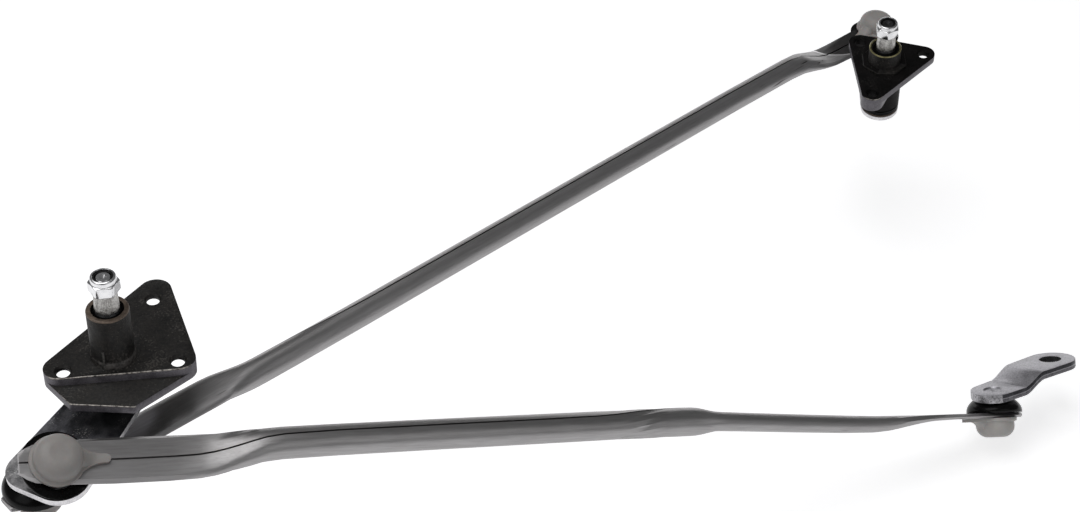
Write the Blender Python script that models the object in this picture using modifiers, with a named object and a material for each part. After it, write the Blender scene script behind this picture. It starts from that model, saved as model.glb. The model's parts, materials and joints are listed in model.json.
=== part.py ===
"""Wiper linkage: two pivot housings with their spindles and cranks, two rolled steel links and a motor crank.

The frame's origin lies on the left spindle's axis at the top face of the left mounting plate, with +Z
along that spindle towards the wiper arm. Every other piece follows from there: the left crank carries
two ball studs, a link hangs on each, and each link carries the next crank. Sizes are in metres.
"""
import math

import bmesh
import bpy
from mathutils import Matrix, Vector

# Fits and fineness
CLEARANCE = 0.0003
TURNED_STEPS = 20
CASTING_STEPS = 28
STUD_STEPS = 16
HOLE_STEPS = 14
CORNER_STEPS = 5
LOBE_STEPS = 7
BALL_STEPS = 7
CROWN_STEPS = 4
CAVITY_STEPS = 5
TAIL_STEPS = 5
WEB_STEPS = 4
BOOT_STEPS = 5
LINK_CHANGE_STEPS = 4
ARM_STEP_STEPS = 8
EDGE_BEVEL = 0.0006
BEVEL_ANGLE = 50.0
SHARP_ANGLE = 35.0
CUT_OVERRUN = 0.002

# Pivot barrels, the same bearing on both sides
BARREL_LENGTH = 0.0454
BARREL_BORE_RADIUS = 0.00775
BARREL_RECESS_DEPTH = 0.0065
HUB_RADIUS = 0.0120
BOSS_RADIUS = 0.0101
BUSH_LENGTH = 0.0140
BUSH_CHAMFER = 0.0006
SEAL_THICKNESS = 0.0022
LOWER_SEAL_THICKNESS = 0.0026
WASHER_THICKNESS = 0.0010
CIRCLIP_THICKNESS = 0.0010
CIRCLIP_RADIUS = 0.0072
CIRCLIP_GROOVE_DEPTH = 0.0008
CIRCLIP_GAP_ANGLE = 50.0
CIRCLIP_STEPS = 24

# Spindles
SPINDLE_RADIUS = 0.0060
SPLINE_ROOT_RADIUS = 0.0056
SPLINE_TIP_RADIUS = 0.0052
SPLINE_LENGTH = 0.0112
SPLINE_RUNOUT = 0.0006
SPLINE_TEETH = 20
SPLINE_TOOTH_HEIGHT = 0.00035
THREAD_RADIUS = 0.0040
THREAD_CHAMFER = 0.0008
SPINDLE_SHANK_RADIUS = 0.0050
RIVET_HEAD_RADIUS = 0.0070
RIVET_HEAD_HEIGHT = 0.0018
RIVET_HEAD_ROUND_HEIGHT = 0.0008
RIVET_HEAD_ROUND_REACH = 0.0015
SPINDLE_END_DEPTH = 0.0008

# Locking nuts
NUT_ACROSS_FLATS = 0.0130
NUT_HEX_HEIGHT = 0.0060
NUT_HEIGHT = 0.0088
NUT_COLLAR_RADIUS = 0.0061
NUT_COLLAR_CHAMFER = 0.0008
NUT_LIP_RADIUS = 0.0048
NUT_LIP_THICKNESS = 0.0005
NUT_INSERT_HEIGHT = 0.0020
NUT_INSERT_CHAMFER = 0.0004
NUT_LAND_STEP = 0.0002

# Left housing
LEFT_BOSS_HEIGHT = 0.0290
LEFT_PLATE_THICKNESS = 0.0085
LEFT_STEP_DEPTH = 0.0044
LEFT_TOP_CORNER = (0.0090, 0.0490)
LEFT_NEAR_CORNER = (-0.0225, -0.0115)
LEFT_FAR_CORNER = (0.0310, 0.0010)
LEFT_CORNER_RADIUS = 0.0080
LEFT_LEDGE_CORNERS = ((-0.0125, -0.0290), (0.0155, -0.0278))
LEFT_LEDGE_RADIUS = 0.0020
LEFT_BOLT_HOLES = ((0.0095, 0.0415), (-0.0205, -0.0140), (0.0309, -0.0010))
LEFT_CORE_WALL = 0.0024
LEFT_SKIN = 0.0024
LEFT_LEDGE_SKIN = 0.0020
LEFT_LEDGE_CORE_RISE = 0.0009
LEFT_LEDGE_CORE_RADIUS = 0.0005
LEFT_RIB_THICKNESS = 0.0024
LEFT_RIB_SETBACK = 0.0010
LEFT_RIBS = ((152.5, 0.0215), (24.6, 0.0330))
LEFT_LEDGE_RIB = (-90.0, 0.0300)
BOSS_COLLAR_STEP = 0.0007
BOSS_COLLAR_HEIGHT = 0.0026
BOSS_RIB_WIDTH = 0.0016
BOSS_RIB_HEIGHT = 0.0110
BOSS_RIB_PROUD = 0.0010
BOSS_RIB_HEADING = -98.0

# Right housing
RIGHT_BOSS_HEIGHT = 0.0125
RIGHT_PLATE_THICKNESS = 0.0047
RIGHT_CORNERS = ((-0.0134, 0.0196), (-0.0095, -0.0286), (0.0256, 0.0070))
RIGHT_CORNER_RADIUS = 0.0071
RIGHT_PAD_THICKNESS = 0.0095
RIGHT_BOSS_FLANGE_RADIUS = 0.0146
RIGHT_BOSS_FLANGE_HEIGHT = 0.0020
RIGHT_BOSS_FLANGE_SIDES = 8
RIGHT_COUNTERBORE_RADIUS = 0.0088
RIGHT_COUNTERBORE_DEPTH = 0.0012

# Bolt holes of both plates
BOLT_HOLE_RADIUS = 0.0033
BOLT_SEAT_RADIUS = 0.0043
BOLT_SEAT_DEPTH = 0.0009

# Crank levers
LEVER_THICKNESS = 0.0030
LEFT_LEVER_HUB_RADIUS = 0.0158
RIGHT_LEVER_HUB_RADIUS = 0.0120
LEVER_LOBE_RADIUS = 0.0130
LEFT_CRANK_HEADING = -106.4
DRIVE_STUD_RADIUS = 0.0640
DRIVE_STUD_ANGLE = 6.7
LINK_STUD_RADIUS = 0.0625
LINK_STUD_ANGLE = -6.7
RIGHT_CRANK_RADIUS = 0.0635
RIGHT_CRANK_HEADING = 87.9

# Ball joints, the same on every crank
BALL_RADIUS = 0.0065
BALL_HEIGHT = 0.0135
MOTOR_BALL_HEIGHT = 0.0153
NECK_RADIUS = 0.0035
STUD_SHOULDER_RADIUS = 0.0052
STUD_SHOULDER_HEIGHT = 0.0014
STUD_SHANK_RADIUS = 0.0040
STUD_HEAD_RADIUS = 0.0052
STUD_HEAD_DEPTH = 0.0014
BALL_TO_FLAT = 0.0040
SOCKET_RADIUS = 0.0111
SOCKET_FLANGE_RADIUS = 0.0126
SOCKET_FLANGE_THICKNESS = 0.0018
SOCKET_FLANGE_SLOPE = 0.0003
SOCKET_THROAT_RADIUS = 0.0082
SOCKET_SNAP_RADIUS = 0.0091
SOCKET_SNAP_HEIGHT = 0.0013
SOCKET_SNAP_TAPER = 0.0004
SOCKET_CROWN_WALL = 0.0020
SOCKET_CROWN_ROUND = 0.0067
SOCKET_LIP_DEPTH = 0.0024
SOCKET_MOUTH_RADIUS = 0.0078
TAIL_LENGTH = 0.0240
TAIL_ROOT_WIDTH = 0.0200
TAIL_TIP_WIDTH = 0.0042
TAIL_STEP = 0.0001
TAIL_WEB_RISE = 0.0040
TAIL_WEB_LENGTH = 0.0062
TAIL_WEB_WIDTH = 0.0090
TAIL_WEB_SINK = 0.0020
BOOT_BASE_RADIUS = 0.0163
BOOT_TOP_RADIUS = 0.0096
BOOT_NECK_RADIUS = 0.0066
BOOT_WALL = 0.0013
BOOT_TAPER_POWER = 2.6

# Rolled links: one strip folded to a tube, pressed flat at both ends
LINK_WALL = 0.0013
LINK_SEAM = 0.0009
LINK_FLAT_HEIGHT = 0.0030
LINK_END_OVERHANG = 0.0165
LINK_END_ROUND = 0.0080
LINK_END_ROUND_MIDDLE = 0.0030
LINK_END_NARROWING = 0.46
LINK_SECTION_STEPS = 16
LINK_STATION_GAP = 0.0025
DRIVE_STRIP_WIDTH = 0.0495
LONG_STRIP_WIDTH = 0.0455

# Drive link, from the left crank to the motor crank
DRIVE_LENGTH = 0.5432
DRIVE_HEADING = 22.9
DRIVE_ELEVATION = -13.9
DRIVE_LEFT_ROLL = 23.5
DRIVE_TUBE_ROLL = 9.0
DRIVE_RIGHT_ROLL = -43.9
DRIVE_LEFT_FLAT = 0.060
DRIVE_LEFT_NECK = 0.048
DRIVE_TWIST = 0.064
DRIVE_OVAL_NECK = 0.016
DRIVE_OVAL = 0.098
DRIVE_RIGHT_NECK = 0.052
DRIVE_RIGHT_FLAT = 0.0432
DRIVE_TUBE_START = DRIVE_LEFT_FLAT + DRIVE_LEFT_NECK
DRIVE_RIGHT_FLAT_START = DRIVE_LENGTH - DRIVE_RIGHT_FLAT
DRIVE_OVAL_END = DRIVE_RIGHT_FLAT_START - DRIVE_RIGHT_NECK
DRIVE_OVAL_START = DRIVE_OVAL_END - DRIVE_OVAL
DRIVE_TUBE_END = DRIVE_OVAL_START - DRIVE_OVAL_NECK
DRIVE_TWIST_START = DRIVE_TUBE_END - DRIVE_TWIST
DRIVE_OVAL_HEIGHT = 0.0100
DRIVE_TUBE_RISE = 0.0040
DRIVE_TUBE_END_RISE = 0.0066
DRIVE_OVAL_END_RISE = 0.0012

# Long link, from the left crank to the right crank
LONG_LENGTH = 0.6395
LONG_HEADING = 46.7
LONG_ELEVATION = 0.5
LONG_LEFT_FLAT = 0.0940
LONG_LEFT_NECK = 0.0300
LONG_RIGHT_NECK = 0.0470
LONG_RIGHT_FLAT = 0.0475
LONG_TUBE_START = LONG_LEFT_FLAT + LONG_LEFT_NECK
LONG_RIGHT_FLAT_START = LONG_LENGTH - LONG_RIGHT_FLAT
LONG_TUBE_END = LONG_RIGHT_FLAT_START - LONG_RIGHT_NECK
LONG_TUBE_END_RISE = 0.0060
LONG_LEFT_SEAM = 0.25
LONG_NECK_SEAM = 0.13
LONG_SEAM_TWIST = 0.0760
LONG_SEAM_UP = LONG_TUBE_START + LONG_SEAM_TWIST

# Pose of the right pivot and of the motor crank on the loose part
RIGHT_LEAN = 11.1
RIGHT_LEAN_HEADING = 52.8
MOTOR_STUD_PITCH = -11.8
MOTOR_STUD_ROLL = -30.2

# Motor crank
MOTOR_CRANK_RADIUS = 0.0513
MOTOR_CRANK_HEADING = 7.5
MOTOR_ARM_THICKNESS = 0.0050
MOTOR_ARM_STUD_END_RADIUS = 0.0128
MOTOR_ARM_SHAFT_END_RADIUS = 0.0146
MOTOR_ARM_STEP = 0.0060
MOTOR_ARM_STEP_START = 0.0130
MOTOR_ARM_STEP_END = 0.0300
MOTOR_SHAFT_HOLE_RADIUS = 0.0061
MOTOR_SHAFT_TEETH = 24
MOTOR_SHAFT_TOOTH_HEIGHT = 0.0005

# Finishes: base colour, roughness, metallic
FINISHES = {
    "cast_black": ((0.030, 0.028, 0.028), 0.55, 0.4),
    "zinc_plate": ((0.52, 0.52, 0.54), 0.38, 0.9),
    "bright_zinc": ((0.80, 0.80, 0.82), 0.20, 1.0),
    "link_steel": ((0.23, 0.22, 0.23), 0.42, 0.85),
    "bronze": ((0.42, 0.27, 0.13), 0.45, 0.9),
    "spring_steel": ((0.10, 0.10, 0.11), 0.35, 0.9),
    "grey_nylon": ((0.45, 0.43, 0.41), 0.50, 0.0),
    "black_nylon": ((0.02, 0.02, 0.02), 0.45, 0.0),
    "black_rubber": ((0.012, 0.012, 0.012), 0.70, 0.0),
}


def clear_scene():
    """Removes everything that the scene starts with."""
    for obj in list(bpy.data.objects):
        bpy.data.objects.remove(obj, do_unlink=True)


def make_collection(name):
    """Makes a collection under the scene."""
    collection = bpy.data.collections.new(name)
    bpy.context.scene.collection.children.link(collection)
    return collection


def make_material(name, finish):
    """Makes one sub-part's material from a finish."""
    color, roughness, metallic = FINISHES[finish]
    material = bpy.data.materials.new(name + "_material")
    material.use_nodes = True
    shader = material.node_tree.nodes["Principled BSDF"]
    shader.inputs["Base Color"].default_value = (*color, 1.0)
    shader.inputs["Roughness"].default_value = roughness
    shader.inputs["Metallic"].default_value = metallic
    return material


clear_scene()
PARTS = make_collection("wiper_linkage")
CUTTERS = make_collection("cutters")


# Frames

def make_frame(name, matrix):
    """An empty that carries the pieces of one body."""
    frame = bpy.data.objects.new(name, None)
    frame.empty_display_size = 0.02
    PARTS.objects.link(frame)
    frame.matrix_world = matrix
    return frame


def turn_z(degrees):
    return Matrix.Rotation(math.radians(degrees), 4, "Z")


def direction(heading, elevation):
    """Unit vector at a heading from +X about +Z and an elevation above the XY plane."""
    flat = math.cos(math.radians(elevation))
    return Vector((flat * math.cos(math.radians(heading)),
                   flat * math.sin(math.radians(heading)),
                   math.sin(math.radians(elevation))))


def matrix_from_axes(origin, x_axis, z_axis):
    """Frame at an origin with its z along one axis and its x as near as can be to another."""
    z = z_axis.normalized()
    x = (x_axis - x_axis.dot(z) * z).normalized()
    y = z.cross(x)
    matrix = Matrix((x, y, z)).transposed().to_4x4()
    matrix.translation = origin
    return matrix


def link_matrix(origin, x_axis):
    """Frame at a link's first ball, its x exactly along the link and its z as near to upright as can be."""
    upright = Vector((0.0, 0.0, 1.0))
    z = (upright - upright.dot(x_axis) * x_axis).normalized()
    matrix = Matrix((x_axis, z.cross(x_axis), z)).transposed().to_4x4()
    matrix.translation = origin
    return matrix


def rolled_normal(roll):
    """In a link's frame, the direction that leans from +Z towards -Y by a roll angle."""
    return Vector((0.0, -math.sin(math.radians(roll)), math.cos(math.radians(roll))))


# Builders

def link_object(obj, frame, collection):
    """Puts an object in a collection, carried by a frame."""
    collection.objects.link(obj)
    obj.parent = frame
    return obj


def finish_part(obj, finish):
    """Gives a piece its material and smooth round faces."""
    obj.data.materials.clear()
    obj.data.materials.append(make_material(obj.name, finish))
    obj.data.shade_smooth()
    obj.data.set_sharp_from_angle(angle=math.radians(SHARP_ANGLE))
    return obj


def hide_cutter(obj):
    obj.hide_render = True
    obj.display_type = "WIRE"
    for collection in list(obj.users_collection):
        collection.objects.unlink(obj)
    CUTTERS.objects.link(obj)


def boolean(obj, other, operation):
    """Joins, cuts or intersects a piece with another, which becomes a cutter."""
    modifier = obj.modifiers.new(operation.lower(), "BOOLEAN")
    modifier.operation = operation
    modifier.solver = "EXACT"
    modifier.object = other
    hide_cutter(other)
    return obj


def turned(name, profile, frame, location=(0, 0, 0), flipped=False, steps=TURNED_STEPS):
    """A solid of revolution about +Z from (radius, height) points that run down its outer side."""
    mesh = bpy.data.meshes.new(name)
    shape = bmesh.new()
    verts = [shape.verts.new((radius, 0.0, height)) for radius, height in profile]
    for first, second in zip(verts, verts[1:]):
        shape.edges.new((first, second))
    if profile[0][0] > 0.0:
        shape.edges.new((verts[-1], verts[0]))
    shape.to_mesh(mesh)
    shape.free()
    obj = link_object(bpy.data.objects.new(name, mesh), frame, PARTS)
    obj.location = location
    if flipped:
        obj.rotation_euler = (math.pi, 0.0, 0.0)
    screw = obj.modifiers.new("turn", "SCREW")
    screw.steps = steps
    screw.render_steps = steps
    screw.use_merge_vertices = True
    screw.merge_threshold = 0.00001
    screw.use_smooth_shade = True
    return obj


def ring(name, inner, outer, bottom, top, frame, chamfer=0.0, location=(0, 0, 0)):
    """A flat ring, its outer edges chamfered if asked."""
    profile = [(inner, top), (outer - chamfer, top)]
    if chamfer > 0.0:
        profile += [(outer, top - chamfer), (outer, bottom + chamfer)]
        profile += [(outer - chamfer, bottom)]
    else:
        profile += [(outer, bottom)]
    profile += [(inner, bottom)]
    return turned(name, profile, frame, location)


def drum(name, radius, bottom, top, frame, location=(0, 0, 0), steps=TURNED_STEPS):
    """A plain cylinder about +Z."""
    return turned(name, [(0.0, top), (radius, top), (radius, bottom), (0.0, bottom)], frame, location,
                  steps=steps)


def tangent_angle(first, second):
    """Angle of the outward normal where a belt leaves one circle for the next, counter-clockwise."""
    dx = second[0] - first[0]
    dy = second[1] - first[1]
    lean = math.acos((first[2] - second[2]) / math.hypot(dx, dy))
    return math.atan2(dy, dx) - lean


def belt(circles, steps=CORNER_STEPS):
    """Outline that wraps round circles (x, y, radius) listed counter-clockwise."""
    points = []
    for index, (x, y, radius) in enumerate(circles):
        before = circles[index - 1]
        after = circles[(index + 1) % len(circles)]
        start = tangent_angle(before, (x, y, radius))
        sweep = (tangent_angle((x, y, radius), after) - start) % (2.0 * math.pi)
        for step in range(steps + 1):
            angle = start + sweep * step / steps
            points.append((x + radius * math.cos(angle), y + radius * math.sin(angle)))
    return points


def extruded(name, points, bottom, top, frame, bevel=0.0):
    """A flat outline raised from one height to another, as a mesh."""
    curve = bpy.data.curves.new(name + "_outline", "CURVE")
    curve.dimensions = "2D"
    curve.fill_mode = "BOTH"
    curve.extrude = 0.5 * (top - bottom)
    spline = curve.splines.new("POLY")
    spline.points.add(len(points) - 1)
    for point, (x, y) in zip(spline.points, points):
        point.co = (x, y, 0.0, 1.0)
    spline.use_cyclic_u = True
    source = bpy.data.objects.new(name + "_outline", curve)
    bpy.context.scene.collection.objects.link(source)
    bpy.context.view_layer.update()
    evaluated = source.evaluated_get(bpy.context.evaluated_depsgraph_get())
    mesh = bpy.data.meshes.new_from_object(evaluated)
    shape = bmesh.new()
    shape.from_mesh(mesh)
    bmesh.ops.remove_doubles(shape, verts=shape.verts, dist=0.000001)
    bmesh.ops.translate(shape, verts=shape.verts, vec=(0.0, 0.0, 0.5 * (top + bottom)))
    bmesh.ops.recalc_face_normals(shape, faces=shape.faces)
    shape.to_mesh(mesh)
    shape.free()
    bpy.data.objects.remove(source, do_unlink=True)
    obj = link_object(bpy.data.objects.new(name, mesh), frame, PARTS)
    if bevel > 0.0:
        modifier = obj.modifiers.new("edge", "BEVEL")
        modifier.width = bevel
        modifier.segments = 1
        modifier.limit_method = "ANGLE"
        modifier.angle_limit = math.radians(BEVEL_ANGLE)
    return obj


def lofted(name, rings, frame, ring_closed=False):
    """A skin through equal rings of points; its two ends are closed, or joined to each other."""
    mesh = bpy.data.meshes.new(name)
    shape = bmesh.new()
    rows = [[shape.verts.new(point) for point in points] for points in rings]
    pairs = list(zip(rows, rows[1:]))
    if ring_closed:
        pairs.append((rows[-1], rows[0]))
    count = len(rows[0])
    for first, second in pairs:
        for index in range(count):
            after = (index + 1) % count
            shape.faces.new((first[index], first[after], second[after], second[index]))
    if not ring_closed:
        half = count // 2
        for row in (rows[0], rows[-1]):
            for index in range(half - 1):
                shape.faces.new((row[index], row[index + 1], row[-index - 2], row[-index - 1]))
    bmesh.ops.recalc_face_normals(shape, faces=shape.faces)
    shape.to_mesh(mesh)
    shape.free()
    return link_object(bpy.data.objects.new(name, mesh), frame, PARTS)


def toothed_sleeve(name, bottom_radius, top_radius, bottom, top, teeth, tooth, frame, location=(0, 0, 0)):
    """A solid sleeve with pointed teeth all round, for a serrated taper or the hole that takes it."""
    mesh = bpy.data.meshes.new(name)
    shape = bmesh.new()
    rows = []
    for radius, height in ((bottom_radius, bottom), (top_radius, top)):
        row = []
        for index in range(2 * teeth):
            reach = radius + (tooth if index % 2 else 0.0)
            angle = math.pi * index / teeth
            row.append(shape.verts.new((reach * math.cos(angle), reach * math.sin(angle), height)))
        rows.append(row)
    for index in range(2 * teeth):
        after = (index + 1) % (2 * teeth)
        shape.faces.new((rows[0][index], rows[0][after], rows[1][after], rows[1][index]))
    shape.faces.new(rows[0])
    shape.faces.new(rows[1])
    bmesh.ops.recalc_face_normals(shape, faces=shape.faces)
    shape.to_mesh(mesh)
    shape.free()
    obj = link_object(bpy.data.objects.new(name, mesh), frame, PARTS)
    obj.location = location
    return obj


# Heights that the pivots share, from the boss's top face down

def barrel_bottom(boss_height):
    return boss_height - BARREL_LENGTH


def lever_top(boss_height):
    stack = LOWER_SEAL_THICKNESS + WASHER_THICKNESS + 3.0 * CLEARANCE
    return barrel_bottom(boss_height) - stack


def recess_floor(boss_height):
    return boss_height - BARREL_RECESS_DEPTH


def circlip_bottom(boss_height):
    return recess_floor(boss_height) + WASHER_THICKNESS + 2.0 * CLEARANCE


def nut_seat(boss_height):
    return boss_height + SPLINE_LENGTH


def spindle_top(boss_height):
    return nut_seat(boss_height) + NUT_HEIGHT - SPINDLE_END_DEPTH


# Pivot housings

def bolt_cutter(name, place, depth, frame):
    """Drill for one bolt hole with the dished seat that is cast round its mouth."""
    profile = [(0.0, CUT_OVERRUN), (BOLT_SEAT_RADIUS, CUT_OVERRUN), (BOLT_SEAT_RADIUS, 0.0),
               (BOLT_HOLE_RADIUS, -BOLT_SEAT_DEPTH), (BOLT_HOLE_RADIUS, -depth - CUT_OVERRUN),
               (0.0, -depth - CUT_OVERRUN)]
    return turned(name, profile, frame, (place[0], place[1], 0.0), steps=HOLE_STEPS)


def bore_cutter(name, boss_height, frame):
    bottom = barrel_bottom(boss_height)
    return drum(name, BARREL_BORE_RADIUS, bottom - CUT_OVERRUN, boss_height + CUT_OVERRUN, frame,
                steps=CASTING_STEPS)


def build_left_housing(frame):
    """Casting with a stepped triangular plate, a tall boss above it and a short hub below."""
    corners = [(*LEFT_FAR_CORNER, LEFT_CORNER_RADIUS), (*LEFT_TOP_CORNER, LEFT_CORNER_RADIUS),
               (*LEFT_NEAR_CORNER, LEFT_CORNER_RADIUS)]
    ledge = [(x, y, LEFT_LEDGE_RADIUS) for x, y in LEFT_LEDGE_CORNERS]
    lower = extruded("left_housing", belt(corners + ledge), -LEFT_PLATE_THICKNESS, -LEFT_STEP_DEPTH,
                     frame, EDGE_BEVEL)
    upper = extruded("left_upper_plate", belt(corners), -LEFT_PLATE_THICKNESS + EDGE_BEVEL, 0.0, frame,
                     EDGE_BEVEL)
    boolean(lower, upper, "UNION")
    core_left_underside(lower, frame)
    bottom = barrel_bottom(LEFT_BOSS_HEIGHT)
    collar = BOSS_RADIUS + BOSS_COLLAR_STEP
    hub_top = -0.5 * LEFT_SKIN
    barrel = turned("left_barrel",
                    [(0.0, LEFT_BOSS_HEIGHT), (BOSS_RADIUS - EDGE_BEVEL, LEFT_BOSS_HEIGHT),
                     (BOSS_RADIUS, LEFT_BOSS_HEIGHT - EDGE_BEVEL),
                     (BOSS_RADIUS, BOSS_COLLAR_HEIGHT + BOSS_COLLAR_STEP),
                     (collar, BOSS_COLLAR_HEIGHT), (collar, hub_top),
                     (HUB_RADIUS, hub_top), (HUB_RADIUS, bottom + EDGE_BEVEL),
                     (HUB_RADIUS - EDGE_BEVEL, bottom), (0.0, bottom)], frame, steps=CASTING_STEPS)
    boolean(lower, barrel, "UNION")
    heading = math.radians(BOSS_RIB_HEADING)
    reach = BOSS_RADIUS + BOSS_RIB_PROUD
    rib = extruded("left_boss_rib", rectangle(BOSS_RADIUS - CUT_OVERRUN, reach, BOSS_RIB_WIDTH, heading),
                   -EDGE_BEVEL, BOSS_RIB_HEIGHT, frame)
    boolean(lower, rib, "UNION")
    boolean(lower, bore_cutter("left_bore", LEFT_BOSS_HEIGHT, frame), "DIFFERENCE")
    for number, place in enumerate(LEFT_BOLT_HOLES, 1):
        cutter = bolt_cutter(f"left_bolt_hole_{number}", place, LEFT_PLATE_THICKNESS, frame)
        boolean(lower, cutter, "DIFFERENCE")
    return finish_part(lower, "cast_black")


def core_left_underside(plate, frame):
    """Hollows the left plate from below to an even skin and wall, with ribs from the hub to the wall."""
    radius = LEFT_CORNER_RADIUS - LEFT_CORE_WALL
    places = (LEFT_FAR_CORNER, LEFT_TOP_CORNER, LEFT_NEAR_CORNER)
    corners = [(*place, radius) for place in places]
    inner = [(*place, radius - CLEARANCE) for place in places]
    ledge = [(x, y + LEFT_LEDGE_CORE_RISE, LEFT_LEDGE_CORE_RADIUS) for x, y in LEFT_LEDGE_CORNERS]
    below = -LEFT_PLATE_THICKNESS - CUT_OVERRUN
    ledge_roof = -LEFT_STEP_DEPTH - LEFT_LEDGE_SKIN
    deep = extruded("left_core", belt(corners), below, -LEFT_SKIN, frame)
    shallow = extruded("left_ledge_core", belt(inner + ledge), below, ledge_roof, frame)
    boolean(plate, deep, "DIFFERENCE")
    boolean(plate, shallow, "DIFFERENCE")
    foot = -LEFT_PLATE_THICKNESS + LEFT_RIB_SETBACK
    roots = [(heading, reach, -0.5 * LEFT_SKIN) for heading, reach in LEFT_RIBS]
    roots.append((*LEFT_LEDGE_RIB, ledge_roof + 0.5 * LEFT_LEDGE_SKIN))
    for number, (heading, reach, top) in enumerate(roots, 1):
        outline = rectangle(BOSS_RADIUS, reach, LEFT_RIB_THICKNESS, math.radians(heading))
        rib = extruded(f"left_underside_rib_{number}", outline, foot, top, frame)
        boolean(plate, rib, "UNION")


def rectangle(near, far, width, heading):
    """Corners of a bar that runs outward from the origin between two distances."""
    along = Vector((math.cos(heading), math.sin(heading)))
    across = Vector((-along.y, along.x)) * 0.5 * width
    return [tuple(along * near - across), tuple(along * far - across),
            tuple(along * far + across), tuple(along * near + across)]


def polygon(radius, sides):
    """Regular polygon round the origin, a flat side facing -Y."""
    turn = math.pi / sides - 0.5 * math.pi
    step = 2.0 * math.pi / sides
    return [(radius * math.cos(turn + step * i), radius * math.sin(turn + step * i)) for i in range(sides)]


def build_right_housing(frame):
    """Casting with a thin triangular plate, a low boss above it and a long hub below."""
    corners = [(x, y, RIGHT_CORNER_RADIUS) for x, y in RIGHT_CORNERS]
    plate = extruded("right_housing", belt(corners), -RIGHT_PLATE_THICKNESS, 0.0, frame, EDGE_BEVEL)
    pad = extruded("right_pad", belt([corners[1], (0.0, 0.0, HUB_RADIUS - EDGE_BEVEL)]),
                   -RIGHT_PAD_THICKNESS, -EDGE_BEVEL, frame, EDGE_BEVEL)
    boolean(plate, pad, "UNION")
    flange = extruded("right_boss_flange", polygon(RIGHT_BOSS_FLANGE_RADIUS, RIGHT_BOSS_FLANGE_SIDES),
                      -RIGHT_PLATE_THICKNESS + EDGE_BEVEL, RIGHT_BOSS_FLANGE_HEIGHT, frame, EDGE_BEVEL)
    boolean(plate, flange, "UNION")
    bottom = barrel_bottom(RIGHT_BOSS_HEIGHT)
    barrel = turned("right_barrel",
                    [(0.0, RIGHT_BOSS_HEIGHT), (BOSS_RADIUS - EDGE_BEVEL, RIGHT_BOSS_HEIGHT),
                     (BOSS_RADIUS, RIGHT_BOSS_HEIGHT - EDGE_BEVEL), (BOSS_RADIUS, -EDGE_BEVEL),
                     (HUB_RADIUS, -EDGE_BEVEL), (HUB_RADIUS, bottom + EDGE_BEVEL),
                     (HUB_RADIUS - EDGE_BEVEL, bottom), (0.0, bottom)], frame, steps=CASTING_STEPS)
    boolean(plate, barrel, "UNION")
    boolean(plate, bore_cutter("right_bore", RIGHT_BOSS_HEIGHT, frame), "DIFFERENCE")
    counterbore = drum("right_counterbore", RIGHT_COUNTERBORE_RADIUS,
                       RIGHT_BOSS_HEIGHT - RIGHT_COUNTERBORE_DEPTH, RIGHT_BOSS_HEIGHT + CUT_OVERRUN, frame,
                       steps=CASTING_STEPS)
    boolean(plate, counterbore, "DIFFERENCE")
    for number, place in enumerate(RIGHT_CORNERS, 1):
        cutter = bolt_cutter(f"right_bolt_hole_{number}", place, RIGHT_PAD_THICKNESS, frame)
        boolean(plate, cutter, "DIFFERENCE")
    return finish_part(plate, "cast_black")


# Pieces inside and on each pivot

def build_bearing(side, boss_height, housing_frame, crank_frame):
    """Bushes, washers, seals, circlip, spindle and nut of one pivot."""
    bottom = barrel_bottom(boss_height)
    floor = recess_floor(boss_height)
    bush_outer = BARREL_BORE_RADIUS - CLEARANCE
    shaft_side = SPINDLE_RADIUS + CLEARANCE
    upper_bush = ring(side + "_upper_bush", shaft_side, bush_outer, floor - BUSH_LENGTH, floor,
                      housing_frame, BUSH_CHAMFER)
    lower_bush = ring(side + "_lower_bush", shaft_side, bush_outer, bottom, bottom + BUSH_LENGTH,
                      housing_frame, BUSH_CHAMFER)
    for bush in (upper_bush, lower_bush):
        finish_part(bush, "bronze")
    thrust = ring(side + "_thrust_washer", shaft_side, CIRCLIP_RADIUS, floor + CLEARANCE,
                  floor + CLEARANCE + WASHER_THICKNESS, crank_frame)
    finish_part(thrust, "spring_steel")
    clip_bottom = circlip_bottom(boss_height)
    build_circlip(side + "_circlip", clip_bottom, crank_frame)
    seal_bottom = clip_bottom + CIRCLIP_THICKNESS + CLEARANCE
    upper_seal = ring(side + "_upper_seal", shaft_side, bush_outer, seal_bottom,
                      seal_bottom + SEAL_THICKNESS, housing_frame, BUSH_CHAMFER)
    finish_part(upper_seal, "black_rubber")
    seal_top = bottom - CLEARANCE
    lower_seal = ring(side + "_lower_seal", shaft_side, HUB_RADIUS, seal_top - LOWER_SEAL_THICKNESS,
                      seal_top, housing_frame, BUSH_CHAMFER)
    finish_part(lower_seal, "black_rubber")
    washer_bottom = lever_top(boss_height) + CLEARANCE
    lower_washer = ring(side + "_lower_washer", shaft_side, HUB_RADIUS, washer_bottom,
                        washer_bottom + WASHER_THICKNESS, crank_frame)
    finish_part(lower_washer, "spring_steel")
    build_spindle(side + "_spindle", boss_height, crank_frame)
    build_nut(side, boss_height, crank_frame)


def build_circlip(name, bottom, frame):
    """Open spring ring that sits in the spindle's groove."""
    inner = SPINDLE_RADIUS - CIRCLIP_GROOVE_DEPTH + CLEARANCE
    half_gap = math.radians(0.5 * CIRCLIP_GAP_ANGLE)
    sweep = 2.0 * (math.pi - half_gap)
    angles = [half_gap + sweep * index / CIRCLIP_STEPS for index in range(CIRCLIP_STEPS + 1)]
    outer_side = [(CIRCLIP_RADIUS * math.cos(a), CIRCLIP_RADIUS * math.sin(a)) for a in angles]
    inner_side = [(inner * math.cos(a), inner * math.sin(a)) for a in reversed(angles)]
    clip = extruded(name, outer_side + inner_side, bottom, bottom + CIRCLIP_THICKNESS, frame)
    finish_part(clip, "spring_steel")


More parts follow.
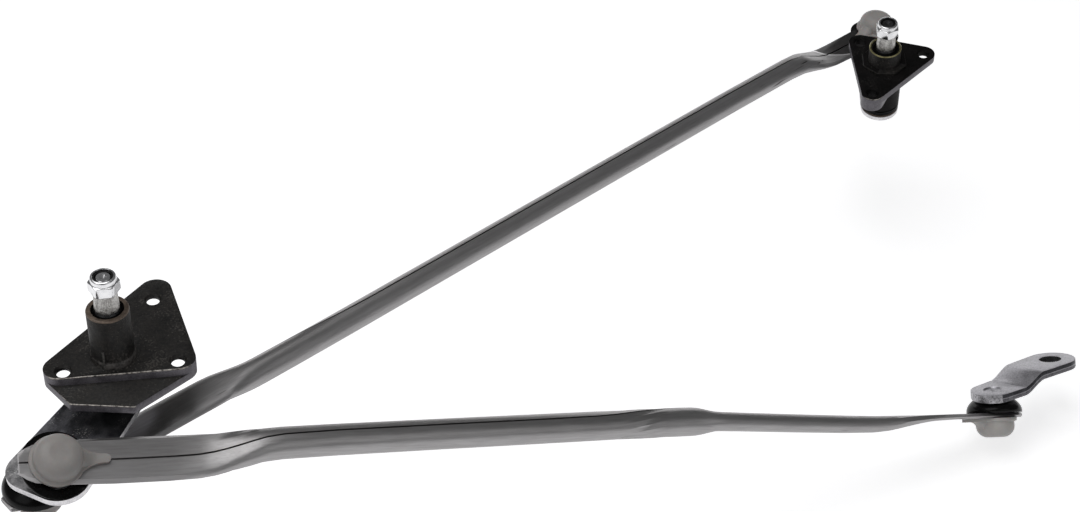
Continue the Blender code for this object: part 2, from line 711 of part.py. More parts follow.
def build_spindle(name, boss_height, frame):
    """Shaft with a threaded end, a serrated taper, a circlip groove and a riveted foot."""
    top = spindle_top(boss_height)
    seat = nut_seat(boss_height)
    lever = lever_top(boss_height)
    groove_bottom = circlip_bottom(boss_height) - CLEARANCE
    groove_top = groove_bottom + CIRCLIP_THICKNESS + 2.0 * CLEARANCE
    groove = SPINDLE_RADIUS - CIRCLIP_GROOVE_DEPTH
    head_top = lever - LEVER_THICKNESS - CLEARANCE
    head_bottom = head_top - RIVET_HEAD_HEIGHT
    shaft = turned(name, [
        (0.0, top), (THREAD_RADIUS - THREAD_CHAMFER, top), (THREAD_RADIUS, top - THREAD_CHAMFER),
        (THREAD_RADIUS, seat), (SPLINE_TIP_RADIUS, seat - CLEARANCE),
        (SPLINE_ROOT_RADIUS, boss_height + CLEARANCE), (SPINDLE_RADIUS, boss_height - SPLINE_RUNOUT),
        (SPINDLE_RADIUS, groove_top), (groove, groove_top), (groove, groove_bottom),
        (SPINDLE_RADIUS, groove_bottom), (SPINDLE_RADIUS, lever + CLEARANCE),
        (SPINDLE_SHANK_RADIUS, lever + CLEARANCE), (SPINDLE_SHANK_RADIUS, head_top),
        (RIVET_HEAD_RADIUS, head_top), (RIVET_HEAD_RADIUS, head_bottom + RIVET_HEAD_ROUND_HEIGHT),
        (RIVET_HEAD_RADIUS - RIVET_HEAD_ROUND_REACH, head_bottom), (0.0, head_bottom)], frame)
    spline = toothed_sleeve(name + "_spline", SPLINE_ROOT_RADIUS, SPLINE_TIP_RADIUS,
                            boss_height + 2.0 * CLEARANCE, seat - 2.0 * CLEARANCE,
                            SPLINE_TEETH, SPLINE_TOOTH_HEIGHT, frame)
    boolean(shaft, spline, "UNION")
    finish_part(shaft, "bright_zinc")


def build_nut(side, boss_height, frame):
    """Hexagon locking nut with a round collar, and the nylon ring held in it."""
    seat = nut_seat(boss_height)
    hex_radius = NUT_ACROSS_FLATS / math.sqrt(3.0)
    land_radius = 0.5 * NUT_ACROSS_FLATS - NUT_LAND_STEP
    bore = THREAD_RADIUS + CLEARANCE
    top = seat + NUT_HEIGHT
    insert_top = top - NUT_LIP_THICKNESS - CLEARANCE
    insert_bottom = insert_top - NUT_INSERT_HEIGHT
    pocket = NUT_COLLAR_RADIUS - NUT_LIP_THICKNESS
    blank_radius = hex_radius + NUT_LAND_STEP
    bevel = 0.5 * (blank_radius - land_radius)
    hex_top = seat + NUT_HEX_HEIGHT
    nut = turned(side + "_nut", [
        (NUT_LIP_RADIUS, top), (NUT_COLLAR_RADIUS - NUT_COLLAR_CHAMFER, top),
        (NUT_COLLAR_RADIUS, top - NUT_COLLAR_CHAMFER),
        (NUT_COLLAR_RADIUS, hex_top), (land_radius, hex_top), (blank_radius, hex_top - bevel),
        (blank_radius, seat + bevel), (land_radius, seat), (bore, seat),
        (bore, insert_bottom - CLEARANCE), (pocket, insert_bottom - CLEARANCE),
        (pocket, insert_top + CLEARANCE), (NUT_LIP_RADIUS, insert_top + CLEARANCE)], frame)
    prism = extruded(side + "_nut_hexagon", polygon(hex_radius, 6), seat - CUT_OVERRUN,
                     top + CUT_OVERRUN, frame)
    boolean(nut, prism, "INTERSECT")
    finish_part(nut, "bright_zinc")
    insert = ring(side + "_nut_insert", bore, pocket - CLEARANCE, insert_bottom, insert_top, frame,
                  NUT_INSERT_CHAMFER)
    finish_part(insert, "black_nylon")


# Crank levers and ball studs

def polar(radius, degrees):
    return (radius * math.cos(math.radians(degrees)), radius * math.sin(math.radians(degrees)))


def build_lever(name, hub_radius, studs, top, frame):
    """Stamped steel lever: a flat outline round the hub and the stud lobes, with their holes."""
    circles = [(0.0, 0.0, hub_radius)] + [(ball.x, ball.y, LEVER_LOBE_RADIUS) for ball, flipped in studs]
    lever = extruded(name, belt(circles, LOBE_STEPS), top - LEVER_THICKNESS, top, frame, EDGE_BEVEL)
    drill = drum(name + "_spindle_hole", SPINDLE_SHANK_RADIUS + CLEARANCE,
                 top - LEVER_THICKNESS - CUT_OVERRUN, top + CUT_OVERRUN, frame)
    boolean(lever, drill, "DIFFERENCE")
    for number, (ball, flipped) in enumerate(studs, 1):
        boolean(lever, stud_hole(f"{name}_stud_hole_{number}", ball, flipped, LEVER_THICKNESS, frame),
                "DIFFERENCE")
    return finish_part(lever, "zinc_plate")


def stud_profile(plate_thickness, ball_height):
    """Ball stud with its ball at the origin, riveted flush in a countersink beyond the plate below it."""
    points = []
    start = math.asin(NECK_RADIUS / BALL_RADIUS)
    for index in range(BALL_STEPS + 1):
        angle = (math.pi - start) * index / BALL_STEPS
        radius = BALL_RADIUS * math.sin(angle)
        points.append((radius if index else 0.0, BALL_RADIUS * math.cos(angle)))
    face = -ball_height
    back = face - plate_thickness
    shoulder = face + CLEARANCE
    points += [(NECK_RADIUS, shoulder + 2.0 * STUD_SHOULDER_HEIGHT),
               (STUD_SHOULDER_RADIUS, shoulder + STUD_SHOULDER_HEIGHT), (STUD_SHOULDER_RADIUS, shoulder),
               (STUD_SHANK_RADIUS, shoulder), (STUD_SHANK_RADIUS, back + STUD_HEAD_DEPTH),
               (STUD_HEAD_RADIUS, back + CLEARANCE), (0.0, back + CLEARANCE)]
    return points


def stud_hole(name, ball, flipped, plate_thickness, frame, ball_height=BALL_HEIGHT):
    """Cutter for the countersunk hole that a ball stud is riveted in."""
    face = -ball_height
    back = face - plate_thickness
    profile = [(0.0, face + CUT_OVERRUN), (STUD_SHANK_RADIUS + CLEARANCE, face + CUT_OVERRUN),
               (STUD_SHANK_RADIUS + CLEARANCE, back + STUD_HEAD_DEPTH),
               (STUD_HEAD_RADIUS + CLEARANCE, back), (STUD_HEAD_RADIUS + CLEARANCE, back - CUT_OVERRUN),
               (0.0, back - CUT_OVERRUN)]
    return turned(name, profile, frame, ball, flipped, steps=STUD_STEPS)


def build_stud(name, ball, flipped, plate_thickness, frame, ball_height=BALL_HEIGHT):
    """Ball stud, its ball up or, flipped, down."""
    profile = stud_profile(plate_thickness, ball_height)
    stud = turned(name, profile, frame, ball, flipped, steps=STUD_STEPS)
    return finish_part(stud, "bright_zinc")


# Sockets and boots

def build_socket(name, frame, matrix):
    """Nylon socket snapped through the link's flat end: domed crown, flange, throat and tail.

    In its own frame the ball is at the origin, +Z points into the crown and +X along the tail.
    """
    face = -BALL_TO_FLAT + 0.5 * LINK_FLAT_HEIGHT + CLEARANCE
    back = -BALL_TO_FLAT - 0.5 * LINK_FLAT_HEIGHT - CLEARANCE
    flange_top = face + SOCKET_FLANGE_THICKNESS
    cavity = BALL_RADIUS + CLEARANCE
    crown = cavity + SOCKET_CROWN_WALL
    profile = [(0.0, crown)]
    for index in range(CROWN_STEPS + 1):
        angle = 0.5 * math.pi * (1.0 - index / CROWN_STEPS)
        profile.append((SOCKET_RADIUS - SOCKET_CROWN_ROUND * (1.0 - math.cos(angle)),
                        crown - SOCKET_CROWN_ROUND * (1.0 - math.sin(angle))))
    profile += [(SOCKET_RADIUS, flange_top), (SOCKET_FLANGE_RADIUS, flange_top - SOCKET_FLANGE_SLOPE),
                (SOCKET_FLANGE_RADIUS, face), (SOCKET_THROAT_RADIUS, face), (SOCKET_THROAT_RADIUS, back),
                (SOCKET_SNAP_RADIUS, back),
                (SOCKET_SNAP_RADIUS - SOCKET_SNAP_TAPER, back - SOCKET_SNAP_HEIGHT),
                (SOCKET_MOUTH_RADIUS, back - SOCKET_SNAP_HEIGHT)]
    lip = math.acos(SOCKET_LIP_DEPTH / cavity)
    for index in range(CAVITY_STEPS + 1):
        angle = lip + (math.pi - lip) * index / CAVITY_STEPS
        radius = cavity * math.sin(angle)
        profile.append((radius if index < CAVITY_STEPS else 0.0, -cavity * math.cos(angle)))
    socket = turned(name, profile, frame)
    socket.matrix_local = matrix
    tail = extruded(name + "_tail", tail_outline(), face, flange_top - TAIL_STEP, frame)
    tail.matrix_local = matrix
    boolean(socket, tail, "UNION")
    web = lofted(name + "_web", tail_web_rings(face + CLEARANCE, flange_top - TAIL_STEP), frame)
    web.matrix_local = matrix
    boolean(socket, web, "UNION")
    return finish_part(socket, "grey_nylon")


def tail_outline():
    """Tongue that narrows in a hollow curve from the flange to its rounded tip."""
    start = SOCKET_RADIUS - 2.0 * TAIL_WEB_SINK
    side = []
    for index in range(TAIL_STEPS + 1):
        along = index / TAIL_STEPS
        width = TAIL_TIP_WIDTH + (TAIL_ROOT_WIDTH - TAIL_TIP_WIDTH) * (1.0 - along) ** 2
        side.append((start + (TAIL_LENGTH - start) * along, 0.5 * width))
    tip_x, tip_y = side.pop()
    side += [(tip_x - 0.5 * tip_y, tip_y), (tip_x, 0.5 * tip_y)]
    return [(x, -y) for x, y in side] + [(x, y) for x, y in reversed(side)]


def tail_web_rings(bottom, top):
    """Sections of the web that rises from the tongue to the crown in a hollow curve."""
    rings = []
    for index in range(-1, WEB_STEPS + 1):
        along = max(index, 0) / WEB_STEPS
        place = SOCKET_RADIUS + (TAIL_WEB_LENGTH * along if index >= 0 else -TAIL_WEB_SINK)
        high = top + TAIL_WEB_RISE * (1.0 - along) ** 2
        low_half = 0.5 * (TAIL_WEB_WIDTH + (TAIL_TIP_WIDTH - TAIL_WEB_WIDTH) * along)
        top_half = 0.5 * low_half
        rings.append([(place, -low_half, bottom), (place, low_half, bottom), (place, low_half, top),
                      (place, top_half, high), (place, -top_half, high), (place, -low_half, top)])
    return rings


def build_boot(name, frame, socket, stud, ball_height):
    """Rubber boot from the link's face to the lever's, leaning where the socket leans on its ball.

    socket and stud are frames in world space with the ball at their origin; the boot's wide base lies
    on the link and its narrow neck is coaxial with the stud, so that the stud can turn in it.
    """
    base_height = BALL_TO_FLAT + 0.5 * LINK_FLAT_HEIGHT + CLEARANCE
    top_height = ball_height - CLEARANCE
    inner_base = SOCKET_SNAP_RADIUS + CLEARANCE
    inverse = frame.matrix_world.inverted()
    count = TURNED_STEPS

    def row(radius, share):
        points = []
        for index in range(count):
            angle = 2.0 * math.pi * index / count
            round_x = radius * math.cos(angle)
            round_y = radius * math.sin(angle)
            low = socket @ Vector((round_x, round_y, -base_height))
            high = stud @ Vector((round_x, round_y, -top_height))
            points.append(inverse @ low.lerp(high, share))
        return points

    outer = []
    inner = []
    for index in range(BOOT_STEPS + 1):
        share = index / BOOT_STEPS
        radius = BOOT_BASE_RADIUS + (BOOT_TOP_RADIUS - BOOT_BASE_RADIUS) * share ** BOOT_TAPER_POWER
        outer.append(row(radius, share))
        start = max(inner_base, BOOT_BASE_RADIUS - 3.0 * BOOT_WALL)
        hollow = start + (BOOT_NECK_RADIUS - start) * share ** BOOT_TAPER_POWER
        inner.append(row(min(hollow, radius - BOOT_WALL), share))
    boot = lofted(name, outer + inner[::-1], frame, ring_closed=True)
    return finish_part(boot, "black_rubber")


# Rolled links

def smooth_value(knots, place):
    """Value at a place between (place, value) knots, easing in and out of each knot."""
    if place <= knots[0][0]:
        return knots[0][1]
    for (start, first), (end, second) in zip(knots, knots[1:]):
        if place <= end:
            share = (place - start) / (end - start)
            return first + (second - first) * share * share * (3.0 - 2.0 * share)
    return knots[-1][1]


def round_flat_point(width, height, share):
    """Point at a share of the way round a straight-sided oval, clockwise from its top centre."""
    straight = 0.5 * max(width - height, 0.0)
    radius = 0.5 * height
    arc = math.pi * radius
    run = share * (4.0 * straight + 2.0 * arc)
    if run <= straight:
        return (run, radius)
    run -= straight
    if run <= arc:
        return (straight + radius * math.sin(run / radius), radius * math.cos(run / radius))
    run -= arc
    if run <= 2.0 * straight:
        return (straight - run, -radius)
    run -= 2.0 * straight
    if run <= arc:
        return (-straight - radius * math.sin(run / radius), -radius * math.cos(run / radius))
    run -= arc
    return (-straight + run, radius)


def rolled_section(strip, height, width_scale, seam):
    """The folded strip's outer points from one side of the seam to the other, then back along its inside."""
    width = (0.5 * (strip - math.pi * height) + height) * width_scale
    inner_height = height - 2.0 * LINK_WALL
    points = []
    for wide, high, order in ((width, height, 1), (width - 2.0 * LINK_WALL, inner_height, -1)):
        around = 2.0 * max(wide - high, 0.0) + math.pi * high
        edge = 0.5 * LINK_SEAM / around
        shares = [seam + edge + (1.0 - 2.0 * edge) * index / LINK_SECTION_STEPS
                  for index in range(LINK_SECTION_STEPS + 1)]
        side = [round_flat_point(wide, high, share % 1.0) for share in shares]
        points += side[::order]
    return points


def build_link(name, frame, length, strip, heights, offsets, rolls, rises, rise_roll, seams):
    """Lofts a link from its section at stations along +X; seams give how far round the seam lies."""
    places = set()
    for inset in (0.0, LINK_END_ROUND_MIDDLE, LINK_END_ROUND):
        places.update((inset - LINK_END_OVERHANG, length + LINK_END_OVERHANG - inset))
    for knots in (heights, rolls, seams):
        for (start, first), (end, second) in zip(knots, knots[1:]):
            steps = 1 if first == second else LINK_CHANGE_STEPS
            places.update(start + (end - start) * index / steps for index in range(steps + 1))
    ordered = []
    for place in sorted(places):
        if not ordered or place - ordered[-1] > LINK_STATION_GAP:
            ordered.append(place)
    ends = [(-LINK_END_OVERHANG, LINK_END_NARROWING), (LINK_END_ROUND - LINK_END_OVERHANG, 1.0),
            (length + LINK_END_OVERHANG - LINK_END_ROUND, 1.0),
            (length + LINK_END_OVERHANG, LINK_END_NARROWING)]
    rise_direction = rolled_normal(rise_roll)
    rings = []
    for place in ordered:
        normal = rolled_normal(smooth_value(rolls, place))
        across = normal.cross(Vector((1.0, 0.0, 0.0)))
        centre = Vector((place, 0.0, 0.0)) + normal * smooth_value(offsets, place)
        centre += rise_direction * smooth_value(rises, place)
        section = rolled_section(strip, smooth_value(heights, place), smooth_value(ends, place),
                                 smooth_value(seams, place))
        rings.append([centre + across * x + normal * z for x, z in section])
    return lofted(name, rings, frame)


def punch(tube, name, matrix, frame):
    """Cuts a socket hole square through a link's flat end."""
    reach = 0.5 * LINK_FLAT_HEIGHT + CUT_OVERRUN
    cutter = drum(name, SOCKET_THROAT_RADIUS + CLEARANCE, -BALL_TO_FLAT - reach, -BALL_TO_FLAT + reach,
                  frame)
    cutter.matrix_local = matrix
    boolean(tube, cutter, "DIFFERENCE")


def build_drive_link(frame, left_socket, right_socket):
    flat = LINK_FLAT_HEIGHT
    round_height = DRIVE_STRIP_WIDTH / math.pi
    heights = [(DRIVE_LEFT_FLAT, flat), (DRIVE_TUBE_START, round_height),
               (DRIVE_TUBE_END, round_height), (DRIVE_OVAL_START, DRIVE_OVAL_HEIGHT),
               (DRIVE_OVAL_END, DRIVE_OVAL_HEIGHT), (DRIVE_RIGHT_FLAT_START, flat)]
    offsets = [(DRIVE_LEFT_FLAT, -BALL_TO_FLAT), (DRIVE_TUBE_START, 0.0),
               (DRIVE_OVAL_END, 0.0), (DRIVE_RIGHT_FLAT_START, BALL_TO_FLAT)]
    rolls = [(DRIVE_LEFT_FLAT, DRIVE_LEFT_ROLL), (DRIVE_TUBE_START, DRIVE_TUBE_ROLL),
             (DRIVE_TWIST_START, DRIVE_TUBE_ROLL), (DRIVE_TUBE_END, DRIVE_RIGHT_ROLL)]
    rises = [(DRIVE_LEFT_FLAT, 0.0), (DRIVE_TUBE_START, DRIVE_TUBE_RISE),
             (DRIVE_TUBE_END, DRIVE_TUBE_END_RISE), (DRIVE_OVAL_END, DRIVE_OVAL_END_RISE),
             (DRIVE_RIGHT_FLAT_START, 0.0)]
    tube = build_link("drive_link_tube", frame, DRIVE_LENGTH, DRIVE_STRIP_WIDTH, heights, offsets, rolls,
                      rises, DRIVE_RIGHT_ROLL, [(0.0, 0.0)])
    punch(tube, "drive_left_hole", left_socket, frame)
    punch(tube, "drive_right_hole", right_socket, frame)
    finish_part(tube, "link_steel")


def build_long_link(frame, left_socket, right_socket):
    flat = LINK_FLAT_HEIGHT
    round_height = LONG_STRIP_WIDTH / math.pi
    heights = [(LONG_LEFT_FLAT, flat), (LONG_TUBE_START, round_height),
               (LONG_TUBE_END, round_height), (LONG_RIGHT_FLAT_START, flat)]
    offsets = [(LONG_LEFT_FLAT, BALL_TO_FLAT), (LONG_TUBE_START, 0.0), (LONG_TUBE_END, 0.0),
               (LONG_RIGHT_FLAT_START, -BALL_TO_FLAT)]
    rolls = [(0.0, 0.0), (LONG_LENGTH, 0.0)]
    rises = [(LONG_TUBE_START, 0.0), (LONG_TUBE_END, LONG_TUBE_END_RISE), (LONG_RIGHT_FLAT_START, 0.0)]
    seams = [(LONG_LEFT_FLAT, LONG_LEFT_SEAM), (LONG_TUBE_START, LONG_NECK_SEAM), (LONG_SEAM_UP, 0.0)]
    tube = build_link("long_link_tube", frame, LONG_LENGTH, LONG_STRIP_WIDTH, heights, offsets, rolls,
                      rises, 0.0, seams)
    punch(tube, "long_left_hole", left_socket, frame)
    punch(tube, "long_right_hole", right_socket, frame)
    finish_part(tube, "link_steel")


def socket_matrix(place, normal, along):
    """A socket's place in its link's frame, its crown along the normal and its tail along the link."""
    return matrix_from_axes(Vector((place, 0.0, 0.0)), Vector((along, 0.0, 0.0)), normal)


# Motor crank

def build_motor_crank(frame):
    """Thick stamped arm with a step in it, a flush-riveted ball stud and a serrated shaft hole."""
    base = MOTOR_BALL_HEIGHT
    thick = MOTOR_ARM_THICKNESS
    reach = MOTOR_ARM_STUD_END_RADIUS + CUT_OVERRUN
    far = MOTOR_CRANK_RADIUS + MOTOR_ARM_SHAFT_END_RADIUS + CUT_OVERRUN
    under = [(-reach, base)]
    for index in range(ARM_STEP_STEPS + 1):
        share = index / ARM_STEP_STEPS
        rise = MOTOR_ARM_STEP * share * share * (3.0 - 2.0 * share)
        along = MOTOR_ARM_STEP_START + (MOTOR_ARM_STEP_END - MOTOR_ARM_STEP_START) * share
        under.append((along, base + rise))
    under.append((far, base + MOTOR_ARM_STEP))
    over = [(x, z + thick) for x, z in reversed(under)]
    half_width = MOTOR_ARM_SHAFT_END_RADIUS + CUT_OVERRUN
    arm = extruded("motor_crank_arm", under + over, -half_width, half_width, frame)
    stand = Matrix.Rotation(math.radians(90), 4, "X")
    arm.data.transform(stand)
    plan = belt([(0.0, 0.0, MOTOR_ARM_STUD_END_RADIUS),
                 (MOTOR_CRANK_RADIUS, 0.0, MOTOR_ARM_SHAFT_END_RADIUS)], 2 * CORNER_STEPS)
    outline = extruded("motor_crank_plan", plan, base - CUT_OVERRUN,
                       base + MOTOR_ARM_STEP + thick + CUT_OVERRUN, frame)
    boolean(arm, outline, "INTERSECT")
    centre = Vector((0.0, 0.0, 0.0))
    boolean(arm, stud_hole("motor_stud_hole", centre, True, thick, frame, base), "DIFFERENCE")
    shaft_hole = toothed_sleeve("motor_shaft_hole", MOTOR_SHAFT_HOLE_RADIUS, MOTOR_SHAFT_HOLE_RADIUS,
                                base + MOTOR_ARM_STEP - CUT_OVERRUN,
                                base + MOTOR_ARM_STEP + thick + CUT_OVERRUN, MOTOR_SHAFT_TEETH,
                                MOTOR_SHAFT_TOOTH_HEIGHT, frame, (MOTOR_CRANK_RADIUS, 0.0, 0.0))
    boolean(arm, shaft_hole, "DIFFERENCE")
    finish_part(arm, "zinc_plate")
    build_stud("motor_crank_ball_stud", centre, True, thick, frame, base)


def main():
    left = make_frame("left_pivot_frame", Matrix.Identity(4))
    left_crank_matrix = turn_z(LEFT_CRANK_HEADING)
    left_crank = make_frame("left_crank_frame", left_crank_matrix)
    lever = lever_top(LEFT_BOSS_HEIGHT)
    drive_stud = polar(DRIVE_STUD_RADIUS, DRIVE_STUD_ANGLE)
    link_stud = polar(LINK_STUD_RADIUS, LINK_STUD_ANGLE)
    drive_ball = Vector((*drive_stud, lever + BALL_HEIGHT))
    link_ball = Vector((*link_stud, lever - LEVER_THICKNESS - BALL_HEIGHT))

    drive_matrix = link_matrix(left_crank_matrix @ drive_ball, direction(DRIVE_HEADING, DRIVE_ELEVATION))
    drive = make_frame("drive_link_frame", drive_matrix)
    long_matrix = link_matrix(left_crank_matrix @ link_ball, direction(LONG_HEADING, LONG_ELEVATION))
    long_link = make_frame("long_link_frame", long_matrix)

    lean = turn_z(RIGHT_LEAN_HEADING) @ Matrix.Rotation(math.radians(-RIGHT_LEAN), 4, "Y")
    lean = lean @ turn_z(-RIGHT_LEAN_HEADING)
    right_lever = lever_top(RIGHT_BOSS_HEIGHT)
    right_ball = Vector((RIGHT_CRANK_RADIUS, 0.0, right_lever + BALL_HEIGHT))
    right_crank_turn = lean @ turn_z(RIGHT_CRANK_HEADING)
    right_ball_world = long_matrix @ Vector((LONG_LENGTH, 0.0, 0.0))
    right_origin = right_ball_world - right_crank_turn.to_3x3() @ right_ball
    right_matrix = Matrix.Translation(right_origin) @ lean
    right = make_frame("right_pivot_frame", right_matrix)
    right_crank = make_frame("right_crank_frame", right_matrix @ turn_z(RIGHT_CRANK_HEADING))

    stud_axis = Matrix.Rotation(math.radians(MOTOR_STUD_ROLL), 3, "X") @ Vector(
        (math.sin(math.radians(MOTOR_STUD_PITCH)), 0.0, math.cos(math.radians(MOTOR_STUD_PITCH))))
    drive_turn = drive_matrix.to_3x3()
    motor_origin = drive_matrix @ Vector((DRIVE_LENGTH, 0.0, 0.0))
    motor_matrix = matrix_from_axes(motor_origin, drive_turn @ Vector((1, 0, 0)), drive_turn @ stud_axis)
    motor_matrix = motor_matrix @ turn_z(MOTOR_CRANK_HEADING)
    motor = make_frame("motor_crank_frame", motor_matrix)
    bpy.context.view_layer.update()

    build_left_housing(left)
    build_bearing("left", LEFT_BOSS_HEIGHT, left, left_crank)
    build_lever("left_crank_lever", LEFT_LEVER_HUB_RADIUS, [(link_ball, True), (drive_ball, False)],
                lever, left_crank)
    build_stud("left_drive_ball_stud", drive_ball, False, LEVER_THICKNESS, left_crank)
    build_stud("left_link_ball_stud", link_ball, True, LEVER_THICKNESS, left_crank)

    build_right_housing(right)
    build_bearing("right", RIGHT_BOSS_HEIGHT, right, right_crank)
    build_lever("right_crank_lever", RIGHT_LEVER_HUB_RADIUS, [(right_ball, False)], right_lever,
                right_crank)
    build_stud("right_ball_stud", right_ball, False, LEVER_THICKNESS, right_crank)
    build_motor_crank(motor)

    drive_left = socket_matrix(0.0, rolled_normal(DRIVE_LEFT_ROLL), 1.0)
    drive_right = socket_matrix(DRIVE_LENGTH, -rolled_normal(DRIVE_RIGHT_ROLL), -1.0)
    long_left = socket_matrix(0.0, -rolled_normal(0.0), 1.0)
    long_right = socket_matrix(LONG_LENGTH, rolled_normal(0.0), -1.0)
    build_drive_link(drive, drive_left, drive_right)
    build_long_link(long_link, long_left, long_right)

    down = Matrix.Rotation(math.pi, 4, "X")
    joints = [
        ("drive_link_left", drive, drive_matrix, drive_left,
         left_crank_matrix @ Matrix.Translation(drive_ball), BALL_HEIGHT),
        ("drive_link_right", drive, drive_matrix, drive_right, motor_matrix @ down, MOTOR_BALL_HEIGHT),
        ("long_link_left", long_link, long_matrix, long_left,
         left_crank_matrix @ Matrix.Translation(link_ball) @ down, BALL_HEIGHT),
        ("long_link_right", long_link, long_matrix, long_right,
         right_matrix @ turn_z(RIGHT_CRANK_HEADING) @ Matrix.Translation(right_ball), BALL_HEIGHT),
    ]
    for name, frame, frame_matrix, socket, stud, ball_height in joints:
        build_socket(name + "_socket", frame, socket)
        socket_world = frame_matrix @ socket
        build_boot(name + "_boot", frame, socket_world, turned_to_match(stud, socket_world), ball_height)


def turned_to_match(stud, socket):
    """The stud's frame turned about its own axis until its x lines up with the socket's x."""
    return matrix_from_axes(stud.translation, socket.to_3x3() @ Vector((1, 0, 0)),
                            stud.to_3x3() @ Vector((0, 0, 1)))


main()
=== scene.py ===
"""Looks of a windscreen wiper linkage: pivot housings, spindles, cranks, rolled links and ball joints.

Every piece is modelled in the frame of the body that carries it and then laid in place, so that its
object sits at the origin with its place in its mesh. Sizes are in metres.
"""
import json
import logging
import math
from contextlib import contextmanager
from dataclasses import dataclass, field
from enum import Enum
from typing import Callable, Iterator, Sequence

import bpy
from mathutils import Matrix, Vector

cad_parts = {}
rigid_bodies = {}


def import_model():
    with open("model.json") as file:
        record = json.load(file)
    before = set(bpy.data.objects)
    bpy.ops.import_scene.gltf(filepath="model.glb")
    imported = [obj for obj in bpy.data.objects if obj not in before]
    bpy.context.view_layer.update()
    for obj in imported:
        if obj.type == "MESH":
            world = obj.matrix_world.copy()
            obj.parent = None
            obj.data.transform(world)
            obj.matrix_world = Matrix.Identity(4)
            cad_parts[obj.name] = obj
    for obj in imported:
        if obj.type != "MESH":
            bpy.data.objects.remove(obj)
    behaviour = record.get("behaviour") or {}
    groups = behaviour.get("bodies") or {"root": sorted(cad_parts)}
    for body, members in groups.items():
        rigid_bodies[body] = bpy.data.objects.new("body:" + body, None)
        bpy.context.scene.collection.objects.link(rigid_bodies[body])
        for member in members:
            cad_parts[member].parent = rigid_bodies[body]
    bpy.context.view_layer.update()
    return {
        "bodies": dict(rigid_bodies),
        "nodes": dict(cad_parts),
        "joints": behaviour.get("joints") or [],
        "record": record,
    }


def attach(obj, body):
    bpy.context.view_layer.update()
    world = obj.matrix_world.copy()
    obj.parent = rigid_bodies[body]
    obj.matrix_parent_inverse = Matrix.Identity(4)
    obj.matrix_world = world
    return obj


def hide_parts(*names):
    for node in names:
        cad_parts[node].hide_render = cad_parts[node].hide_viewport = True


LOG = logging.getLogger("wiper_linkage")

Color = tuple[float, float, float]
Point = tuple[float, float]

ROUND_STEPS = 64
STUD_STEPS = 48
SMALL_STEPS = 12
SMOOTH_ANGLE = math.radians(32)
CREASE_ANGLE = math.radians(40)
SHARP_ANGLE = math.radians(50)
MERGE_DISTANCE = 0.00001
LEVEL = 0.00001
TINY = 1e-9
UPRIGHT = 0.6
FIT = 0.0003
SEAT = 0.00005
OVERRUN = 0.002

GRAIN_LIMITS = (0.34, 0.66)
CLOUD_LIMITS = (0.3, 0.7)
SPECK_ROUGHNESS = 0.15
RELIEF_DEPTH = 0.0002
GLOW_DEPTH = 0.002


class Body(Enum):
    """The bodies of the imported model."""

    LEFT_PIVOT = "left_pivot"
    LEFT_CRANK = "left_crank"
    DRIVE_LINK = "drive_link"
    MOTOR_CRANK = "motor_crank"
    LONG_LINK = "long_link"
    RIGHT_CRANK = "right_crank"
    RIGHT_PIVOT = "right_pivot"


class Cut(Enum):
    """How one solid works on another."""

    JOIN = "UNION"
    REMOVE = "DIFFERENCE"
    KEEP = "INTERSECT"


# Shader groups


def feed(tree: bpy.types.NodeTree, socket: bpy.types.NodeSocket, value) -> None:
    """Links another node's socket to an input, or sets the input to a number or a colour.

    Args:
        tree: The node tree.
        socket: The input.
        value: A socket, a number or a colour.
    """
    if isinstance(value, bpy.types.NodeSocket):
        tree.links.new(value, socket)
    else:
        socket.default_value = (*value, 1.0) if isinstance(value, tuple) else value


def new_group(name: str, inputs: dict[str, float | None], outputs: Sequence[str]) -> tuple:
    """Starts a shader node group.

    Args:
        name: Name of the group.
        inputs: Names of the inputs with their defaults; None stands for a vector.
        outputs: Names of the outputs, which are all values.

    Returns:
        The group, the sockets that it is given and the sockets that it fills.
    """
    group = bpy.data.node_groups.new(name, "ShaderNodeTree")
    for label, default in inputs.items():
        kind = "NodeSocketVector" if default is None else "NodeSocketFloat"
        socket = group.interface.new_socket(label, in_out="INPUT", socket_type=kind)
        if default is not None:
            socket.default_value = default
    for label in outputs:
        group.interface.new_socket(label, in_out="OUTPUT", socket_type="NodeSocketFloat")
    source, sink = group.nodes.new("NodeGroupInput"), group.nodes.new("NodeGroupOutput")
    return group, source.outputs, sink.inputs


def add_math(tree: bpy.types.NodeTree, operation: str, first, second, clamp: bool = False):
    """Adds a Math node and returns its output.

    Args:
        tree: The node tree.
        operation: The Math node's operation.
        first: A socket or a number.
        second: A socket or a number.
        clamp: Whether the result stays between 0 and 1.

    Returns:
        The node's output socket.
    """
    node = tree.nodes.new("ShaderNodeMath")
    node.operation = operation
    node.use_clamp = clamp
    feed(tree, node.inputs[0], first)
    feed(tree, node.inputs[1], second)
    return node.outputs[0]


def add_noise(tree: bpy.types.NodeTree, vector, scale, detail: float, roughness: float):
    """Adds a Noise Texture and returns its factor output.

    Args:
        tree: The node tree.
        vector: Socket with the coordinates.
        scale: A socket or a number.
        detail: Octaves of the noise.
        roughness: How much each octave adds.

    Returns:
        The factor socket.
    """
    node = tree.nodes.new("ShaderNodeTexNoise")
    values = {"Vector": vector, "Scale": scale, "Detail": detail, "Roughness": roughness}
    for label, value in values.items():
        feed(tree, node.inputs[label], value)
    return node.outputs["Fac"]


